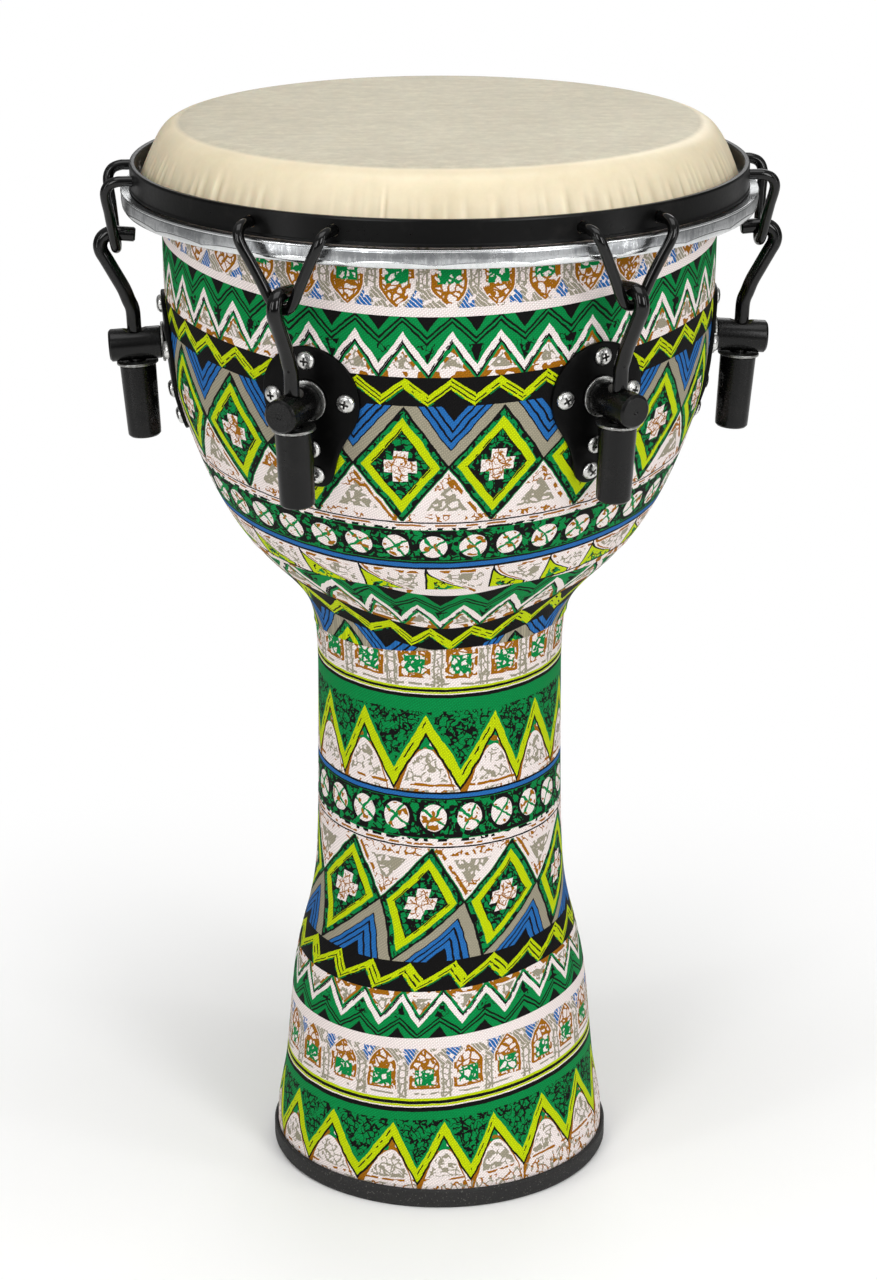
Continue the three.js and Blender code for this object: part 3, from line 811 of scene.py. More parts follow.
def tube(path, radius, sides, chamfer):
    """Round bar along a path, with chamfered ends."""
    path = np.array(path, float)
    head = unit(path[1] - path[0]) * chamfer
    tail = unit(path[-1] - path[-2]) * chamfer
    path = np.vstack([path[0], path[0] + head, path[1:-1], path[-1] - tail, path[-1]])
    keep = [0]
    for i in range(1, len(path)):
        if np.linalg.norm(path[i] - path[keep[-1]]) > 0.05:
            keep.append(i)
    path = path[keep]
    tangents = np.gradient(path, axis=0)
    tangents /= np.linalg.norm(tangents, axis=1)[:, None]
    normal = unit(np.cross(tangents[0], np.array([0, 1.0, 0])))
    angles = np.linspace(0, 2 * math.pi, sides, endpoint=False)
    verts, faces = [], []
    previous = tangents[0]
    for i, (point, tangent) in enumerate(zip(path, tangents)):
        # carry the normal along without twisting it
        axis = np.cross(previous, tangent)
        sine = np.linalg.norm(axis)
        if sine > 1e-9:
            axis /= sine
            bend = math.asin(min(1, sine))
            normal = (normal * math.cos(bend) + np.cross(axis, normal) * math.sin(bend)
                      + axis * (axis @ normal) * (1 - math.cos(bend)))
        normal = unit(normal - tangent * (tangent @ normal))
        side = np.cross(tangent, normal)
        r = radius - (chamfer if i in (0, len(path) - 1) else 0)
        for angle in angles:
            verts.append(point + r * (normal * math.cos(angle) + side * math.sin(angle)))
        previous = tangent
    for a in range(0, (len(path) - 1) * sides, sides):
        for j in range(sides):
            k = (j + 1) % sides
            faces.append([a + j, a + k, a + sides + k, a + sides + j])
    last = (len(path) - 1) * sides
    verts += [path[0], path[-1]]
    start, end = len(verts) - 2, len(verts) - 1
    for j in range(sides):
        k = (j + 1) % sides
        faces.append([start, k, j])
        faces.append([end, last + j, last + k])
    return np.array(verts), faces


def cut(ob, cutters, sharp):
    """Cut the cutters out of ob; the cut faces keep the cutters' materials."""
    for cutter in cutters:
        modifier = ob.modifiers.new("cut", "BOOLEAN")
        modifier.operation = "DIFFERENCE"
        modifier.object = cutter
        modifier.solver = "EXACT"
        modifier.material_mode = "TRANSFER"
    depsgraph = bpy.context.evaluated_depsgraph_get()
    mesh = bpy.data.meshes.new_from_object(ob.evaluated_get(depsgraph))
    ob.modifiers.clear()
    uncut = ob.data
    ob.data = mesh
    bpy.data.meshes.remove(uncut)
    for cutter in cutters:
        cutter_mesh = cutter.data
        bpy.data.objects.remove(cutter)
        bpy.data.meshes.remove(cutter_mesh)
    mesh.set_sharp_from_angle(angle=math.radians(sharp))


def copies(ob):
    """One turned copy of ob for each lug, by side; ob itself is removed."""
    made = {}
    for side, degrees in LUGS.items():
        name = ob.name + "_" + side
        mesh = ob.data.copy()
        mesh.transform(Matrix.Rotation(math.radians(degrees), 4, "Z"))
        mesh.name = name
        made[side] = bpy.data.objects.new(name, mesh)
        bpy.context.scene.collection.objects.link(made[side])
    bpy.data.objects.remove(ob)
    return made


def place(ob, body, slot, *nodes):
    if nodes:
        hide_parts(*nodes)
    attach(ob, body)


def place_lugs(parts, body, slot):
    """Place one part per lug; a body ending in "_" is completed with the side."""
    for side, ob in parts.items():
        place(ob, body + side if body.endswith("_") else body, slot, ob.name.lower())


# ------------------------------------------------------------------ outline of the cloth
# (height, radius)
OUTLINE = np.array([
    [0, 96.4], [4, 96.4], [21, 96.2], [36, 93.9], [50, 91.4], [80, 88.4], [109, 85.6],
    [124, 83.1], [139, 79.6], [153, 75.9], [168, 73.1], [183, 71.6], [215, 70.4], [250, 69.9],
    [280, 69.6], [300, 69.5], [315, 69.9], [329, 71.3], [338, 73.6], [345, 77], [352, 82.2],
    [359, 88.5], [366, 95.8], [374, 103.3], [388.5, 114.6], [410.6, 127.0], [432.6, 136.2],
    [447, 141.2], [454.7, 143.5], [462, 145.4], [474.6, 147.4], [487.2, 148.9], [500, 150.0],
    [525, 151.4], [560, 151.7], [600, 151.7]])
HEIGHTS, RADII = OUTLINE[:, 0], OUTLINE[:, 1]


def outline_slopes():
    """Slopes at the outline's points that keep the curve between them free of overshoot."""
    gaps = np.diff(HEIGHTS)
    chords = np.diff(RADII) / gaps
    slopes = np.zeros(len(HEIGHTS))
    slopes[0], slopes[-1] = chords[0], chords[-1]
    for i in range(1, len(HEIGHTS) - 1):
        if chords[i - 1] * chords[i] > 0:
            w1 = 2 * gaps[i] + gaps[i - 1]
            w2 = gaps[i] + 2 * gaps[i - 1]
            slopes[i] = (w1 + w2) / (w1 / chords[i - 1] + w2 / chords[i])
    return slopes


SLOPES = outline_slopes()


def radius_at(z):
    """Radius of the cloth's surface at a height."""
    z = np.clip(np.asarray(z, float), HEIGHTS[0], HEIGHTS[-1])
    k = np.clip(np.searchsorted(HEIGHTS, z, side="right") - 1, 0, len(HEIGHTS) - 2)
    gap = HEIGHTS[k + 1] - HEIGHTS[k]
    t = (z - HEIGHTS[k]) / gap
    return ((2 * t ** 3 - 3 * t ** 2 + 1) * RADII[k] + (t ** 3 - 2 * t ** 2 + t) * gap * SLOPES[k]
            + (-2 * t ** 3 + 3 * t ** 2) * RADII[k + 1] + (t ** 3 - t ** 2) * gap * SLOPES[k + 1])


# ------------------------------------------------------------------ cloth covers
# Angles on the cloth are degrees from the print's zero line, rising to the right; the lap is
# at the back, at +-180. A print height is a height before the cloth's shift.
CLOTH_COLUMNS = 360
EDGE_DEPTH, LAP_DEPTH, LAP_LIFT = 1.1, 1.0, 0.75
CLOTH_WELD = 0.0000008          # metres


class Strip(NamedTuple):
    """One printed band; it starts where the one above it ends."""
    bottom: float               # print height of the lower edge
    rows: int
    kind: str                   # key in PRINTS
    across: Callable            # place across the print, from print height
    marks: list                 # angles of successive repeats, or None for even repeats
    pitch: float                # degrees in a repeat, beyond or without marks
    flip: bool = False          # print runs the other way round
    shear: Callable = None      # degrees of turn, from print height


def across(zero, scale=-1.0, start=0.0):
    """Place across a print: start at the zero height, changing by scale per millimetre up."""
    return lambda height: start + (height - zero) * scale


def between(*pairs):
    """Straight lines through (height, value) pairs given from the top."""
    heights, values = np.array(pairs[::-1], float).T
    return lambda height: np.interp(height, heights, values)


def count_repeats(angle, marks, pitch):
    marks = np.array(marks, float)
    last = len(marks) - 1.0
    count = np.interp(angle, marks, np.arange(len(marks)))
    count = np.where(angle < marks[0], (angle - marks[0]) / pitch, count)
    return np.where(angle > marks[-1], last + (angle - marks[-1]) / pitch, count)


def smoothstep(x, low, high):
    t = np.clip((x - low) / (high - low), 0, 1)
    return t * t * (3 - 2 * t)


def drawn_in(points, radii, depth, rise=0.0):
    """The points moved inwards by depth and up by rise."""
    factor = ((radii - depth) / radii)[:, None]
    return np.hstack([points[:, :2] * factor, points[:, 2:] + rise])


def cloth(name, low, high, shift, top, strips, lift):
    """A glued sheet between the heights low(angle) and high(angle), standing off by lift."""
    angle = np.linspace(-180, 180, CLOTH_COLUMNS + 1)
    low, high = low(angle), high(angle)

    def level(print_height):
        z = np.full_like(angle, print_height)
        for _ in range(12):
            z = print_height + shift(angle, z)
        return np.clip(z, low, high)

    rows, owners = [], []
    upper = np.maximum(level(top), high)
    for strip in strips:
        lower = level(strip.bottom)
        if strip is strips[-1]:
            lower = np.minimum(lower, low)
        for step in range(strip.rows):
            rows.append(upper + (lower - upper) * step / strip.rows)
            owners.append(strip)
        upper = lower
    rows.append(upper)
    z = np.array(rows)
    row_count, columns = z.shape
    angles = np.broadcast_to(angle, z.shape)
    radii = radius_at(z) + lift(angles, z) + LAP_LIFT * smoothstep(angles, 174.5, 176.0)
    turned = np.radians(angles - TURN)
    around = angles / 360 * 2 * math.pi * radii
    middle = z[:, CLOTH_COLUMNS // 2]
    lengths = np.hypot(np.diff(radius_at(middle)), np.diff(middle))
    down = np.concatenate([[0], np.cumsum(lengths)])
    points = np.stack([radii * np.sin(turned), -radii * np.cos(turned), z], -1)

    def row_uvs(row, strip):
        """Cloth and Thread coordinates side by side."""
        print_height = z[row] - shift(angle, z[row])
        if strip.marks:
            sheared = angle - (strip.shear(print_height) if strip.shear else 0)
            repeats = count_repeats(sheared, strip.marks, strip.pitch)
        else:
            repeats = angle / strip.pitch
        if strip.flip:
            repeats = -repeats
        return np.stack([repeats, strip.across(print_height), around[row],
                         np.full(columns, down[row])], -1)

    kinds = sorted({strip.kind for strip in strips})
    faces, slots, uvs = [], [], []
    for i, strip in enumerate(owners):
        over, under = row_uvs(i, strip), row_uvs(i + 1, strip)
        thin = np.abs(z[i] - z[i + 1]) < 1e-6
        for j in range(columns - 1):
            if thin[j] and thin[j + 1]:
                continue
            a, b = i * columns + j, (i + 1) * columns + j
            faces.append([a, b, b + 1, a + 1])
            slots.append(kinds.index(strip.kind))
            uvs += [over[j], under[j], under[j + 1], over[j + 1]]

    # turned-in top and bottom edges
    white = kinds.index("white") if "white" in kinds else 0
    verts = [points.reshape(-1, 3)]
    for edge, (row, rise) in enumerate(((0, -0.25), (row_count - 1, 0.25))):
        verts.append(drawn_in(points[row], radii[row], EDGE_DEPTH, rise))
        for j in range(columns - 1):
            a = row * columns + j
            b = (row_count + edge) * columns + j
            faces.append([a, a + 1, b + 1, b] if edge == 0 else [a + 1, a, b, b + 1])
            slots.append(white)
            uvs += [(0.3, 1.0, j, 0), (0.3, 1.0, j + 1, 0),
                    (0.3, 1.0, j + 1, 0.8), (0.3, 1.0, j, 0.8)]
    # side of the lap at the back
    verts.append(drawn_in(points[:, -1], radii[:, -1], LAP_DEPTH))
    base = (row_count + 2) * columns
    for i in range(row_count - 1):
        if abs(z[i, -1] - z[i + 1, -1]) < 1e-6:
            continue
        a = (i + 1) * columns - 1
        faces.append([a, a + columns, base + i + 1, base + i])
        slots.append(white)
        uvs += [(0.3, 1.0, 0, i), (0.3, 1.0, 0, i + 1),
                (0.3, 1.0, 0.8, i + 1), (0.3, 1.0, 0.8, i)]
    uvs = np.array(uvs)
    return make(name, (np.vstack(verts), faces), [PRINTS[kind] for kind in kinds], slots,
                {"Cloth": uvs[:, :2], "Thread": uvs[:, 2:]}, weld=CLOTH_WELD, outward=False)


# The seams between the covers wave gently; the shifts bend the print up or down round the drum.
def neck_seam(angle):
    return 329.9 + 3.2 * np.sin(np.radians(angle)) + 0.5 * np.sin(np.radians(angle * 5 + 40))


def bowl_seam(angle):
    rise = 3.2 * (1 - np.exp(-(angle / 38.0) ** 2))
    return 376.0 + rise + 0.25 * np.sin(np.radians(angle * 7))


def bowl_shift(angle, z):
    return 18 * (1 - np.exp(-((angle + 3) / 65.0) ** 2))


def neck_shift(angle, z):
    return (16.5 + 7.5 * smoothstep(z, 345, 374)) * (1 - np.exp(-((angle - 2) / 38.0) ** 2))


def stem_shift(angle, z):
    upper = 3.5 * (1 - np.cos(np.radians(angle * 1.2)))
    lower = 8 * np.tanh(angle / 55) + 4.5 * (1 - np.exp(-(angle / 50) ** 2))
    weight = smoothstep(z, 115, 200)
    return weight * upper + (1 - weight) * lower


def edge_puff(z, seam):
    """The glued lower edge stands a little proud where it laps over the next cloth."""
    return 0.45 * np.exp(-np.clip(z - seam, 0, None) / 2.2)


def bowl_lift(angle, z):
    waves = 0.06 * np.sin(np.radians(angle * 9)) * np.sin(z / 11.0)
    return edge_puff(z, bowl_seam(angle)) + waves


def neck_lift(angle, z):
    return edge_puff(z, neck_seam(angle)) - 0.35 * smoothstep(z, 373, 377.0)


def stem_lift(angle, z):
    waves = 0.05 * np.sin(np.radians(angle * 7)) * np.sin(z / 17.0)
    return -0.35 * smoothstep(z, 325, 330) + waves


BOWL_TOP = 600
BOWL_SHIELDS = [-18.1, -8.4, 2.1, 11.4, 20.7]
BOWL_STRIPS = [
    Strip(540.4, 14, "shields", across(540.4, -23.5 / 22.6, 30), BOWL_SHIELDS, 9.7, True),
    Strip(536, 3, "shields", across(540.4, -6 / 4.4, 30), BOWL_SHIELDS, 9.7, True),
    Strip(504, 14, "zigzag", across(536), [-16.6, -7.1, 2.5, 11.9, 21.6], 9.5),
    Strip(488.5, 8, "zigzag line", across(504), [-16.6, -6.9, 2.3, 11.9, 21.6], 9.5),
    Strip(421.6, 30, "diamonds", across(454.6, 1), [-18.25, 1.85, 22.15], 20.2,
          shear=between((488, 1.2), (455, 0), (421, -0.3))),
    Strip(416, 3, "white lines", across(421.6), None, 9.5),
    Strip(396.2, 10, "circles", across(405.6, 1.02), [-10.6, -1.5, 8.4, 17.0, 26.0], 9.3),
    Strip(390.4, 3, "blue", across(396), None, 9.5),
    Strip(340, 30, "leaves", across(390.4),
          [-57.6, -39.6, -21.8, -3.8, 14.4, 30.2, 43.6, 62.0], 18.0)]

NECK_TOP = 385
NECK_STRIPS = [
    Strip(370.6, 4, "white", across(0, 0, 1), None, 16.5),
    Strip(344, 14, "zigzag", between((370.6, -5), (362.3, 7.1), (344, 32)),
          [-52, -33.6, -21.8, -7.6, 8.4, 24.2, 37.6, 54], 16.5),
    Strip(329.8, 8, "zigzag line", across(344, -15.5 / 14.2),
          [-58, -40.4, -20.4, -4.0, 13.6, 32.8, 48.0], 17.2),
    Strip(285, 20, "diamonds", across(329.8, 1.2, 34), [-64.0, -24.5, 14.8, 54.0], 39.3)]

STEM_TOP = 345
STEM_SHIELDS = [-56.7, -38.3, -21.7, -5.6, 11.1, 26.1, 42.8, 56.7]
STEM_STRIPS = [
    Strip(307.5, 12, "shields", across(307.5, 0.84, 1.2),
          [-57.5, -33.8, -11.3, 10.0, 31.3, 51.3], 21.6),
    Strip(300.7, 3, "lines", across(307.5, -8.6 / 6.8), None, 20),
    Strip(245.3, 24, "great zigzag", across(300.7), [-62.5, -36.9, -6.25, 26.25, 50.0], 28.1),
    Strip(240.6, 2, "blue", across(240.6, 5.6 / 4.7), None, 20, True),
    Strip(217.9, 11, "circles", across(229.8, 0.9),
          [-53.75, -37.25, -20.4, -2.5, 14.4, 30.0, 46.0, 61.0], 16.4, True),
    Strip(211.6, 3, "white lines", across(211.6, 5.6 / 6.3), None, 20, True),
    Strip(145.7, 30, "diamonds", across(178.4), [-67.75, -28.1, 11.25, 50.6], 39.4, True,
          between((212, 5), (195, 3), (178, 0), (162, -5.2), (145.7, -12.5))),
    Strip(129.3, 9, "zigzag line", across(145.7, -15.5 / 16.4),
          [-49.3, -32.4, -15.6, 3.3, 20.1, 39.6], 17.8,
          shear=between((145.7, 3.6), (129.3, -3.6))),
    Strip(102.5, 12, "zigzag", across(102.5, 32 / 26.8),
          [-58.3, -40.6, -23.3, -7.8, 8.9, 26.7, 43.3], 17.0, True,
          between((129.3, 1.2), (102.5, -1.0))),
    Strip(96.4, 3, "shields", across(96.4, 1, 30), STEM_SHIELDS, 16.1),
    Strip(66.5, 14, "shields", across(66.5, 30 / 29.9), STEM_SHIELDS, 16.1),
    Strip(57.9, 4, "lines", across(66.5), None, 20),
    Strip(-30, 36, "great zigzag", across(51.4, -43.3 / 35.7, 10),
          [-63, -41.7, -16.7, 1.7, 20.0, 40.6, 62.0], 20.7)]

bowl_cloth = cloth("Bowl_cloth", bowl_seam, lambda angle: np.full_like(angle, 590.0),
                   bowl_shift, BOWL_TOP, BOWL_STRIPS, bowl_lift)
neck_cloth = cloth("Neck_cloth", neck_seam, lambda angle: bowl_seam(angle) + 1.0,
                   neck_shift, NECK_TOP, NECK_STRIPS, neck_lift)
stem_cloth = cloth("Stem_cloth", lambda angle: np.full_like(angle, 4.0),
                   lambda angle: neck_seam(angle) + 1.0,
                   stem_shift, STEM_TOP, STEM_STRIPS, stem_lift)
place(bowl_cloth, "drum", "bowl_cloth", "bowl_cover")
place(neck_cloth, "drum", "bowl_cloth", "neck_cover")
place(stem_cloth, "drum", "stem_cloth", "stem_cover")


# ------------------------------------------------------------------ shell and foot
SHELL_OUTSIDE, SHELL_INSIDE = 1.6, 8.0      # depths of the wall's faces under the cloth
SHELL_BOTTOM = 3.4
SHELL_RIM = [(149.9, 597), (149.1, 602), (147.8, 605.2), (146.4, 607.2), (145.2, 608.1),
             (144.2, 607.2), (143.8, 604)]
FOOT = [(88.2, 0, 0.8), (97.6, 0, 1.6), (98.7, 2.2, 1.0), (98.7, 10.6, 1.4), (97.9, 11.8, 0.7),
        (96.9, 11.7, 0.4), (96.75, 3.2, 0.5), (88.2, 2.8, 0.8)]


def build_shell():
    levels = np.concatenate([np.linspace(4, 320, 40), np.linspace(322, 460, 36),
                             np.linspace(466, 590, 14)])
    outside = [(float(radius_at(z)) - SHELL_OUTSIDE, float(z)) for z in levels[1:]]
    inside = [(float(radius_at(z)) - SHELL_INSIDE, float(z)) for z in levels[:0:-1]]
    profile = ([(94.6, SHELL_BOTTOM)] + outside + SHELL_RIM + inside + [(88.6, SHELL_BOTTOM)])
    place(make("Shell", lathe(profile, 144), [MOULDED], sharp=50), "drum", "shell", "shell")


build_shell()
foot = make("Foot_ring", lathe(ring_fillet(FOOT), 216), [RUBBER], sharp=60)
place(foot, "drum", "foot_rubber", "foot_ring")


# ------------------------------------------------------------------ head
# upper surface of the film (radius, height)
HEAD = [(0, 611), (30, 611), (60, 611), (90, 611), (112, 611), (126, 611), (133, 610.9),
        (138, 610.6), (141, 610.25), (143, 609.85), (144.5, 609.45), (146, 608.9),
        (147.5, 608.1), (149, 607.1), (150.3, 605.9), (151.6, 604.3), (152.8, 602.5),
        (154.1, 600.2), (155.3, 597.8), (156.4, 595.4), (157.5, 593), (158.5, 590.6),
        (159.6, 588), (160.6, 585.6), (161.6, 583.2), (162.6, 580.2), (163.6, 577.2)]


def scatter_folds():
    """(angle, width, depth, reach) of each gather, at uneven steps round the head."""
    scattered = []
    angle = 0.0
    while angle < 2 * math.pi - 0.03:
        scattered.append((angle, RNG.uniform(0.012, 0.03), RNG.uniform(0.25, 1.0) ** 1.5,
                          RNG.uniform(0.5, 1.25)))
        angle += RNG.uniform(0.028, 0.075)
    return scattered


FOLDS = scatter_folds()


def fold_height(angles, heights):
    total = np.zeros_like(angles)
    for centre, width, depth, reach in FOLDS:
        away = (angles - centre + math.pi) % (2 * math.pi) - math.pi
        strength = np.clip((592.5 + 10.5 * reach - heights) / 11.0, 0, 1) ** 1.1
        ridge = np.exp(-(away / (width * 0.42)) ** 2)
        groove = 0.7 * np.exp(-((away - width * 0.8) / (width * 0.4)) ** 2)
        total += strength * depth * (ridge - groove)
    return total


def pleats(angles, radii, heights):
    """Gathers in the collar just above the hoop: soft folds that die out upwards."""
    ripples = (0.12 * np.sin(31 * angles + 1) + 0.12 * np.sin(57 * angles + 2.2)
               + 0.1 * np.sin(83 * angles))
    folded = radii + 1.15 * fold_height(angles, heights)
    folded += np.clip((604 - heights) / 16, 0, 1) * ripples
    return np.minimum(folded, radii + 0.9), heights


def build_head():
    inward = np.interp([r for r, z in HEAD], [0, 140, 152, 164], [0, 0.0, 0.75, 0.95])
    underside = [(max(0.0, r - k), z - (1 - k) - 0.2) for (r, z), k in zip(HEAD, inward)][::-1]
    shape = lathe(HEAD + underside, 600, closed=False, wobble=pleats)
    head = make("Head_skin", shape, [FILM], sharp=70, weld=0.0000005)
    # each point's fold height, stored as "Fold"; the film's material paints shade in the grooves
    # and a highlight on the ridges from it
    points = mesh_points(head.data)
    angles = np.arctan2(points[:, 1], points[:, 0]) % (2 * math.pi)
    values = np.clip(fold_height(angles, points[:, 2]), -1, 1)
    attribute = head.data.attributes.new("Fold", "FLOAT", "POINT")
    attribute.data.foreach_set("value", values.astype(np.float32))
    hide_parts("head_skin")
    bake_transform(head)


build_head()

# ------------------------------------------------------------------ flesh hoop and counterhoop
CLIP_SPREAD, CLIP_HEIGHT = 24.0, 582.4      # half the width between a V clip's ends; their height
HOLE_INSET = 1.72                           # the hoop's face is this much nearer at the holes
HOOP_SIDES = 720
FLESH_HOOP = [
    (165.0, 565.3, 0.3), (170.9, 565.0, 0.5), (172.1, 565.4, 0.7), (172.9, 566.6, 0.5),
    (173.15, 567.9, 0.3), (172.85, 568.35, 0.15), (173.3, 568.8, 0.2), (173.35, 570.5, 0.3),
    (173.3, 573.3, 0.3), (173.1, 573.8, 0.2), (173.6, 574.4, 0.3), (173.3, 575.1, 0.35),
    (170.5, 574.9, 0.6), (165.0, 575.0, 0.3)]
COUNTERHOOP = [
    (165.3, 575.4, 0.4), (168.8, 575.4, 0.5), (168.8, 576.7, 0.45), (168.35, 577.3, 0.4),
    (168.45, 588.2, 0.6), (168.1, 589.5, 0.8), (165.7, 589.5, 0.8), (165.2, 588.3, 0.5)]
CLIP_HOLE = [(0, 150), (3.15, 150), (3.15, 168.0), (3.35, 168.35), (3.35, 175), (0, 175)]


def crimps(angles, radii, heights):
    """The edge between the flat band and the pressed lower third runs in shallow arches."""
    turns = angles * 24 / (2 * math.pi) + 0.1 * np.sin(3 * angles + 1.0) + 0.2
    arch = 1 - np.abs(2 * (turns % 1.0) - 1) ** 2.4
    close = np.exp(-((heights - 568.5) / 1.5) ** 2)
    dents = (0.1 * np.sin(17 * angles + 0.5) * np.sin(9 * angles)
             * np.clip((heights - 567) / 5, 0, 1))
    return radii + dents - close * 0.1 * (1 - arch) ** 2, heights + close * (1.7 * arch - 1.1)


def build_flesh_hoop():
    profile = ring_fillet(FLESH_HOOP, 3)
    slots = []
    # the flat band takes the brushed aluminium; the lips and lower third take the lighter copy
    # with its painted highlight
    for (r0, z0), (r1, z1) in zip(profile, profile[1:] + profile[:1]):
        brushed = r0 > 172.8 and r1 > 172.8 and 568.5 < (z0 + z1) / 2 < 573.9
        slots += [int(brushed)] * HOOP_SIDES
    shape = lathe(profile, HOOP_SIDES, wobble=crimps)
    hoop = make("Flesh_hoop", shape, [POLISHED_AND_HIGHLIT, BRUSHED], slots, sharp=50)
    place(hoop, "rim", "polished_aluminium", "flesh_hoop")


def build_counterhoop():
    # the cut clip holes take slot 1, the grey metal of the painted edge highlight
    materials = [BLACK_HOOP, EDGE_HIGHLIGHT]
    hoop = make("Counterhoop", lathe(ring_fillet(COUNTERHOOP), 360), materials, sharp=50)
    cutters = []
    for degrees in LUGS.values():
        angle = math.radians(degrees)
        inset = np.array([math.cos(angle), math.sin(angle), 0]) * HOLE_INSET
        for side in (-1, 1):
            radial = frame_matrix((0, 0, -1), (0, 1, 0), (1, 0, 0),
                                  (0, side * CLIP_SPREAD, CLIP_HEIGHT))
            verts, faces = spun(moved(lathe(CLIP_HOLE, 28, closed=False), radial), degrees)
            cutters.append(make("cutter", (verts - inset, faces), materials, [1] * len(faces)))
    cut(hoop, cutters, sharp=40)
    place(hoop, "rim", "black_hoop", "counterhoop")


build_flesh_hoop()
build_counterhoop()

# ------------------------------------------------------------------ lugs
# Each part is built at the right-hand lug, on +x, then turned to the others.
TILT = math.radians(4)              # the rod leans outwards going up
CROSS_RADIUS, CROSS_HEIGHT = 167.7, 487.5       # where the rod crosses the post
ROD = np.array([math.sin(TILT), 0, math.cos(TILT)])
POST = np.array([math.cos(TILT), 0, -math.sin(TILT)])
TANGENT = np.array([0, 1.0, 0])
CROSSING = np.array([CROSS_RADIUS, 0, CROSS_HEIGHT])
POST_FRAME = frame_matrix(TANGENT, np.cross(POST, TANGENT), POST, CROSSING)     # z outwards
ROD_FRAME = frame_matrix(TANGENT, np.cross(ROD, TANGENT), ROD, CROSSING)        # z up the rod

# Teardrop plate: two round ends, heights measured from the crossing
UPPER_RADIUS, LOWER_RADIUS, LOWER_DROP, PLATE_RAISE = 28.0, 9.6, 39.9, 1.8
WAIST = 1.5                         # how far each flank is drawn in
PLATE_CENTRE = np.array((0, -9))
PLATE_RINGS = 9
SCREWS = [(0, 22.6), (-21, 1.5), (21, 1.5), (0, -25.4), (0, -40.2)]     # (tangential, height)


def teardrop():
    """Outline from the top, going round."""
    alpha = math.acos((UPPER_RADIUS - LOWER_RADIUS) / LOWER_DROP)
    touch = -(math.pi / 2 - alpha)          # angle where the flank meets both round ends
    points = [(UPPER_RADIUS * math.cos(a), UPPER_RADIUS * math.sin(a))
              for a in np.linspace(math.pi / 2, touch, 34)]
    start = np.array(points[-1])
    outward = np.array([math.cos(touch), math.sin(touch)])
    end = LOWER_RADIUS * outward - np.array([0.0, LOWER_DROP])
    for w in np.linspace(0, 1, 16)[1:-1]:
        point = start + (end - start) * w - outward * WAIST * math.sin(math.pi * w) ** 1.5
        points.append(tuple(point))
    for a in np.linspace(touch, -math.pi / 2, 16):
        points.append((LOWER_RADIUS * math.cos(a), -LOWER_DROP + LOWER_RADIUS * math.sin(a)))
    mirrored = [(-x, y) for x, y in points[1:-1]][::-1]
    return np.array(points + mirrored) + np.array([0.0, PLATE_RAISE])


def on_bowl(tangential, height, off):
    """Point on the bowl, placed from the crossing and standing off the cloth."""
    z = CROSS_HEIGHT + height
    r = float(radius_at(z))
    slope = float(radius_at(z + 0.5)) - float(radius_at(z - 0.5))
    angle = tangential / r
    normal = unit(np.array([math.cos(angle), math.sin(angle), -slope]))
    return np.array([r * math.cos(angle), r * math.sin(angle), z]) + normal * off


def bent_plate(outline, low, high, edge):
    """Plate bent round the bowl from low to high off the cloth, its outer edge eased."""
    rays = outline - PLATE_CENTRE
    n = len(outline)

    def ring(inset, scale, off):
        return [on_bowl(*(PLATE_CENTRE + ray * (1 - inset / np.linalg.norm(ray)) * scale), off)
                for ray in rays]

    scales = [1 - k / PLATE_RINGS for k in range(1, PLATE_RINGS)]
    verts = (ring(0, 1, low) + ring(0, 1, high - edge)
             + ring(edge * 0.3, 1, high - edge * 0.3) + ring(edge, 1, high))
    for scale in scales:
        verts += ring(edge, scale, high)
    middle = len(verts)
    verts.append(on_bowl(*PLATE_CENTRE, high))
    faces = []
    for a in range(0, middle - n, n):
        for j in range(n):
            k = (j + 1) % n
            faces.append([a + j, a + k, a + n + k, a + n + j])
    for j in range(n):
        faces.append([middle - n + j, middle - n + (j + 1) % n, middle])
    # back face
    previous = 0
    for scale in scales:
        current = len(verts)
        verts += ring(0, scale, low)
        for j in range(n):
            k = (j + 1) % n
            faces.append([previous + k, previous + j, current + j, current + k])
        previous = current
    for j in range(n):
        faces.append([previous + (j + 1) % n, previous + j, len(verts)])
    verts.append(on_bowl(*PLATE_CENTRE, low))
    return np.array(verts), faces


def screw_head():
    """Domed head with a cross recess, z out of the plate; returns its shape and slots."""
    dome = fillet([(0, 2.8, 0), (2.0, 2.74, 0.6), (3.7, 2.3, 1.2), (4.7, 1.35, 1.0),
                   (5.0, 0.5, 0.5), (5.0, 0.0, 0), (0, 0, 0)])
    materials = [ZINC, DARK_STEEL]
    head = make("screw", lathe(dome, 40, closed=False), materials, sharp=50)
    w, reach = 0.66, 2.7            # half width and length of the cross's arms
    mouth, floor = 3.4, 0.9         # heights of the tapered cutter's ends
    corners = ((w, reach), (w, w), (reach, w), (reach, -w), (w, -w), (w, -reach),
               (-w, -reach), (-w, -w), (-reach, -w), (-reach, w), (-w, w), (-w, reach))

    def tapered(value):
        return value * (0.5 if abs(value) > w + 0.1 else 0.75)

    verts = ([(a, b, mouth) for a, b in corners]
             + [(tapered(a), tapered(b), floor) for a, b in corners])
    n = len(corners)
    faces = [list(range(n))[::-1], list(range(n, 2 * n))]
    for i in range(n):
        k = (i + 1) % n
        faces.append([i, k, n + k, n + i])
    cutter = make("cutter", (verts, faces), materials, [1] * len(faces), smooth=False)
    cut(head, [cutter], sharp=38)
    mesh = head.data
    shape = mesh_points(mesh), [list(face.vertices) for face in mesh.polygons]
    slots = [face.material_index for face in mesh.polygons]
    bpy.data.objects.remove(head)
    return shape, slots


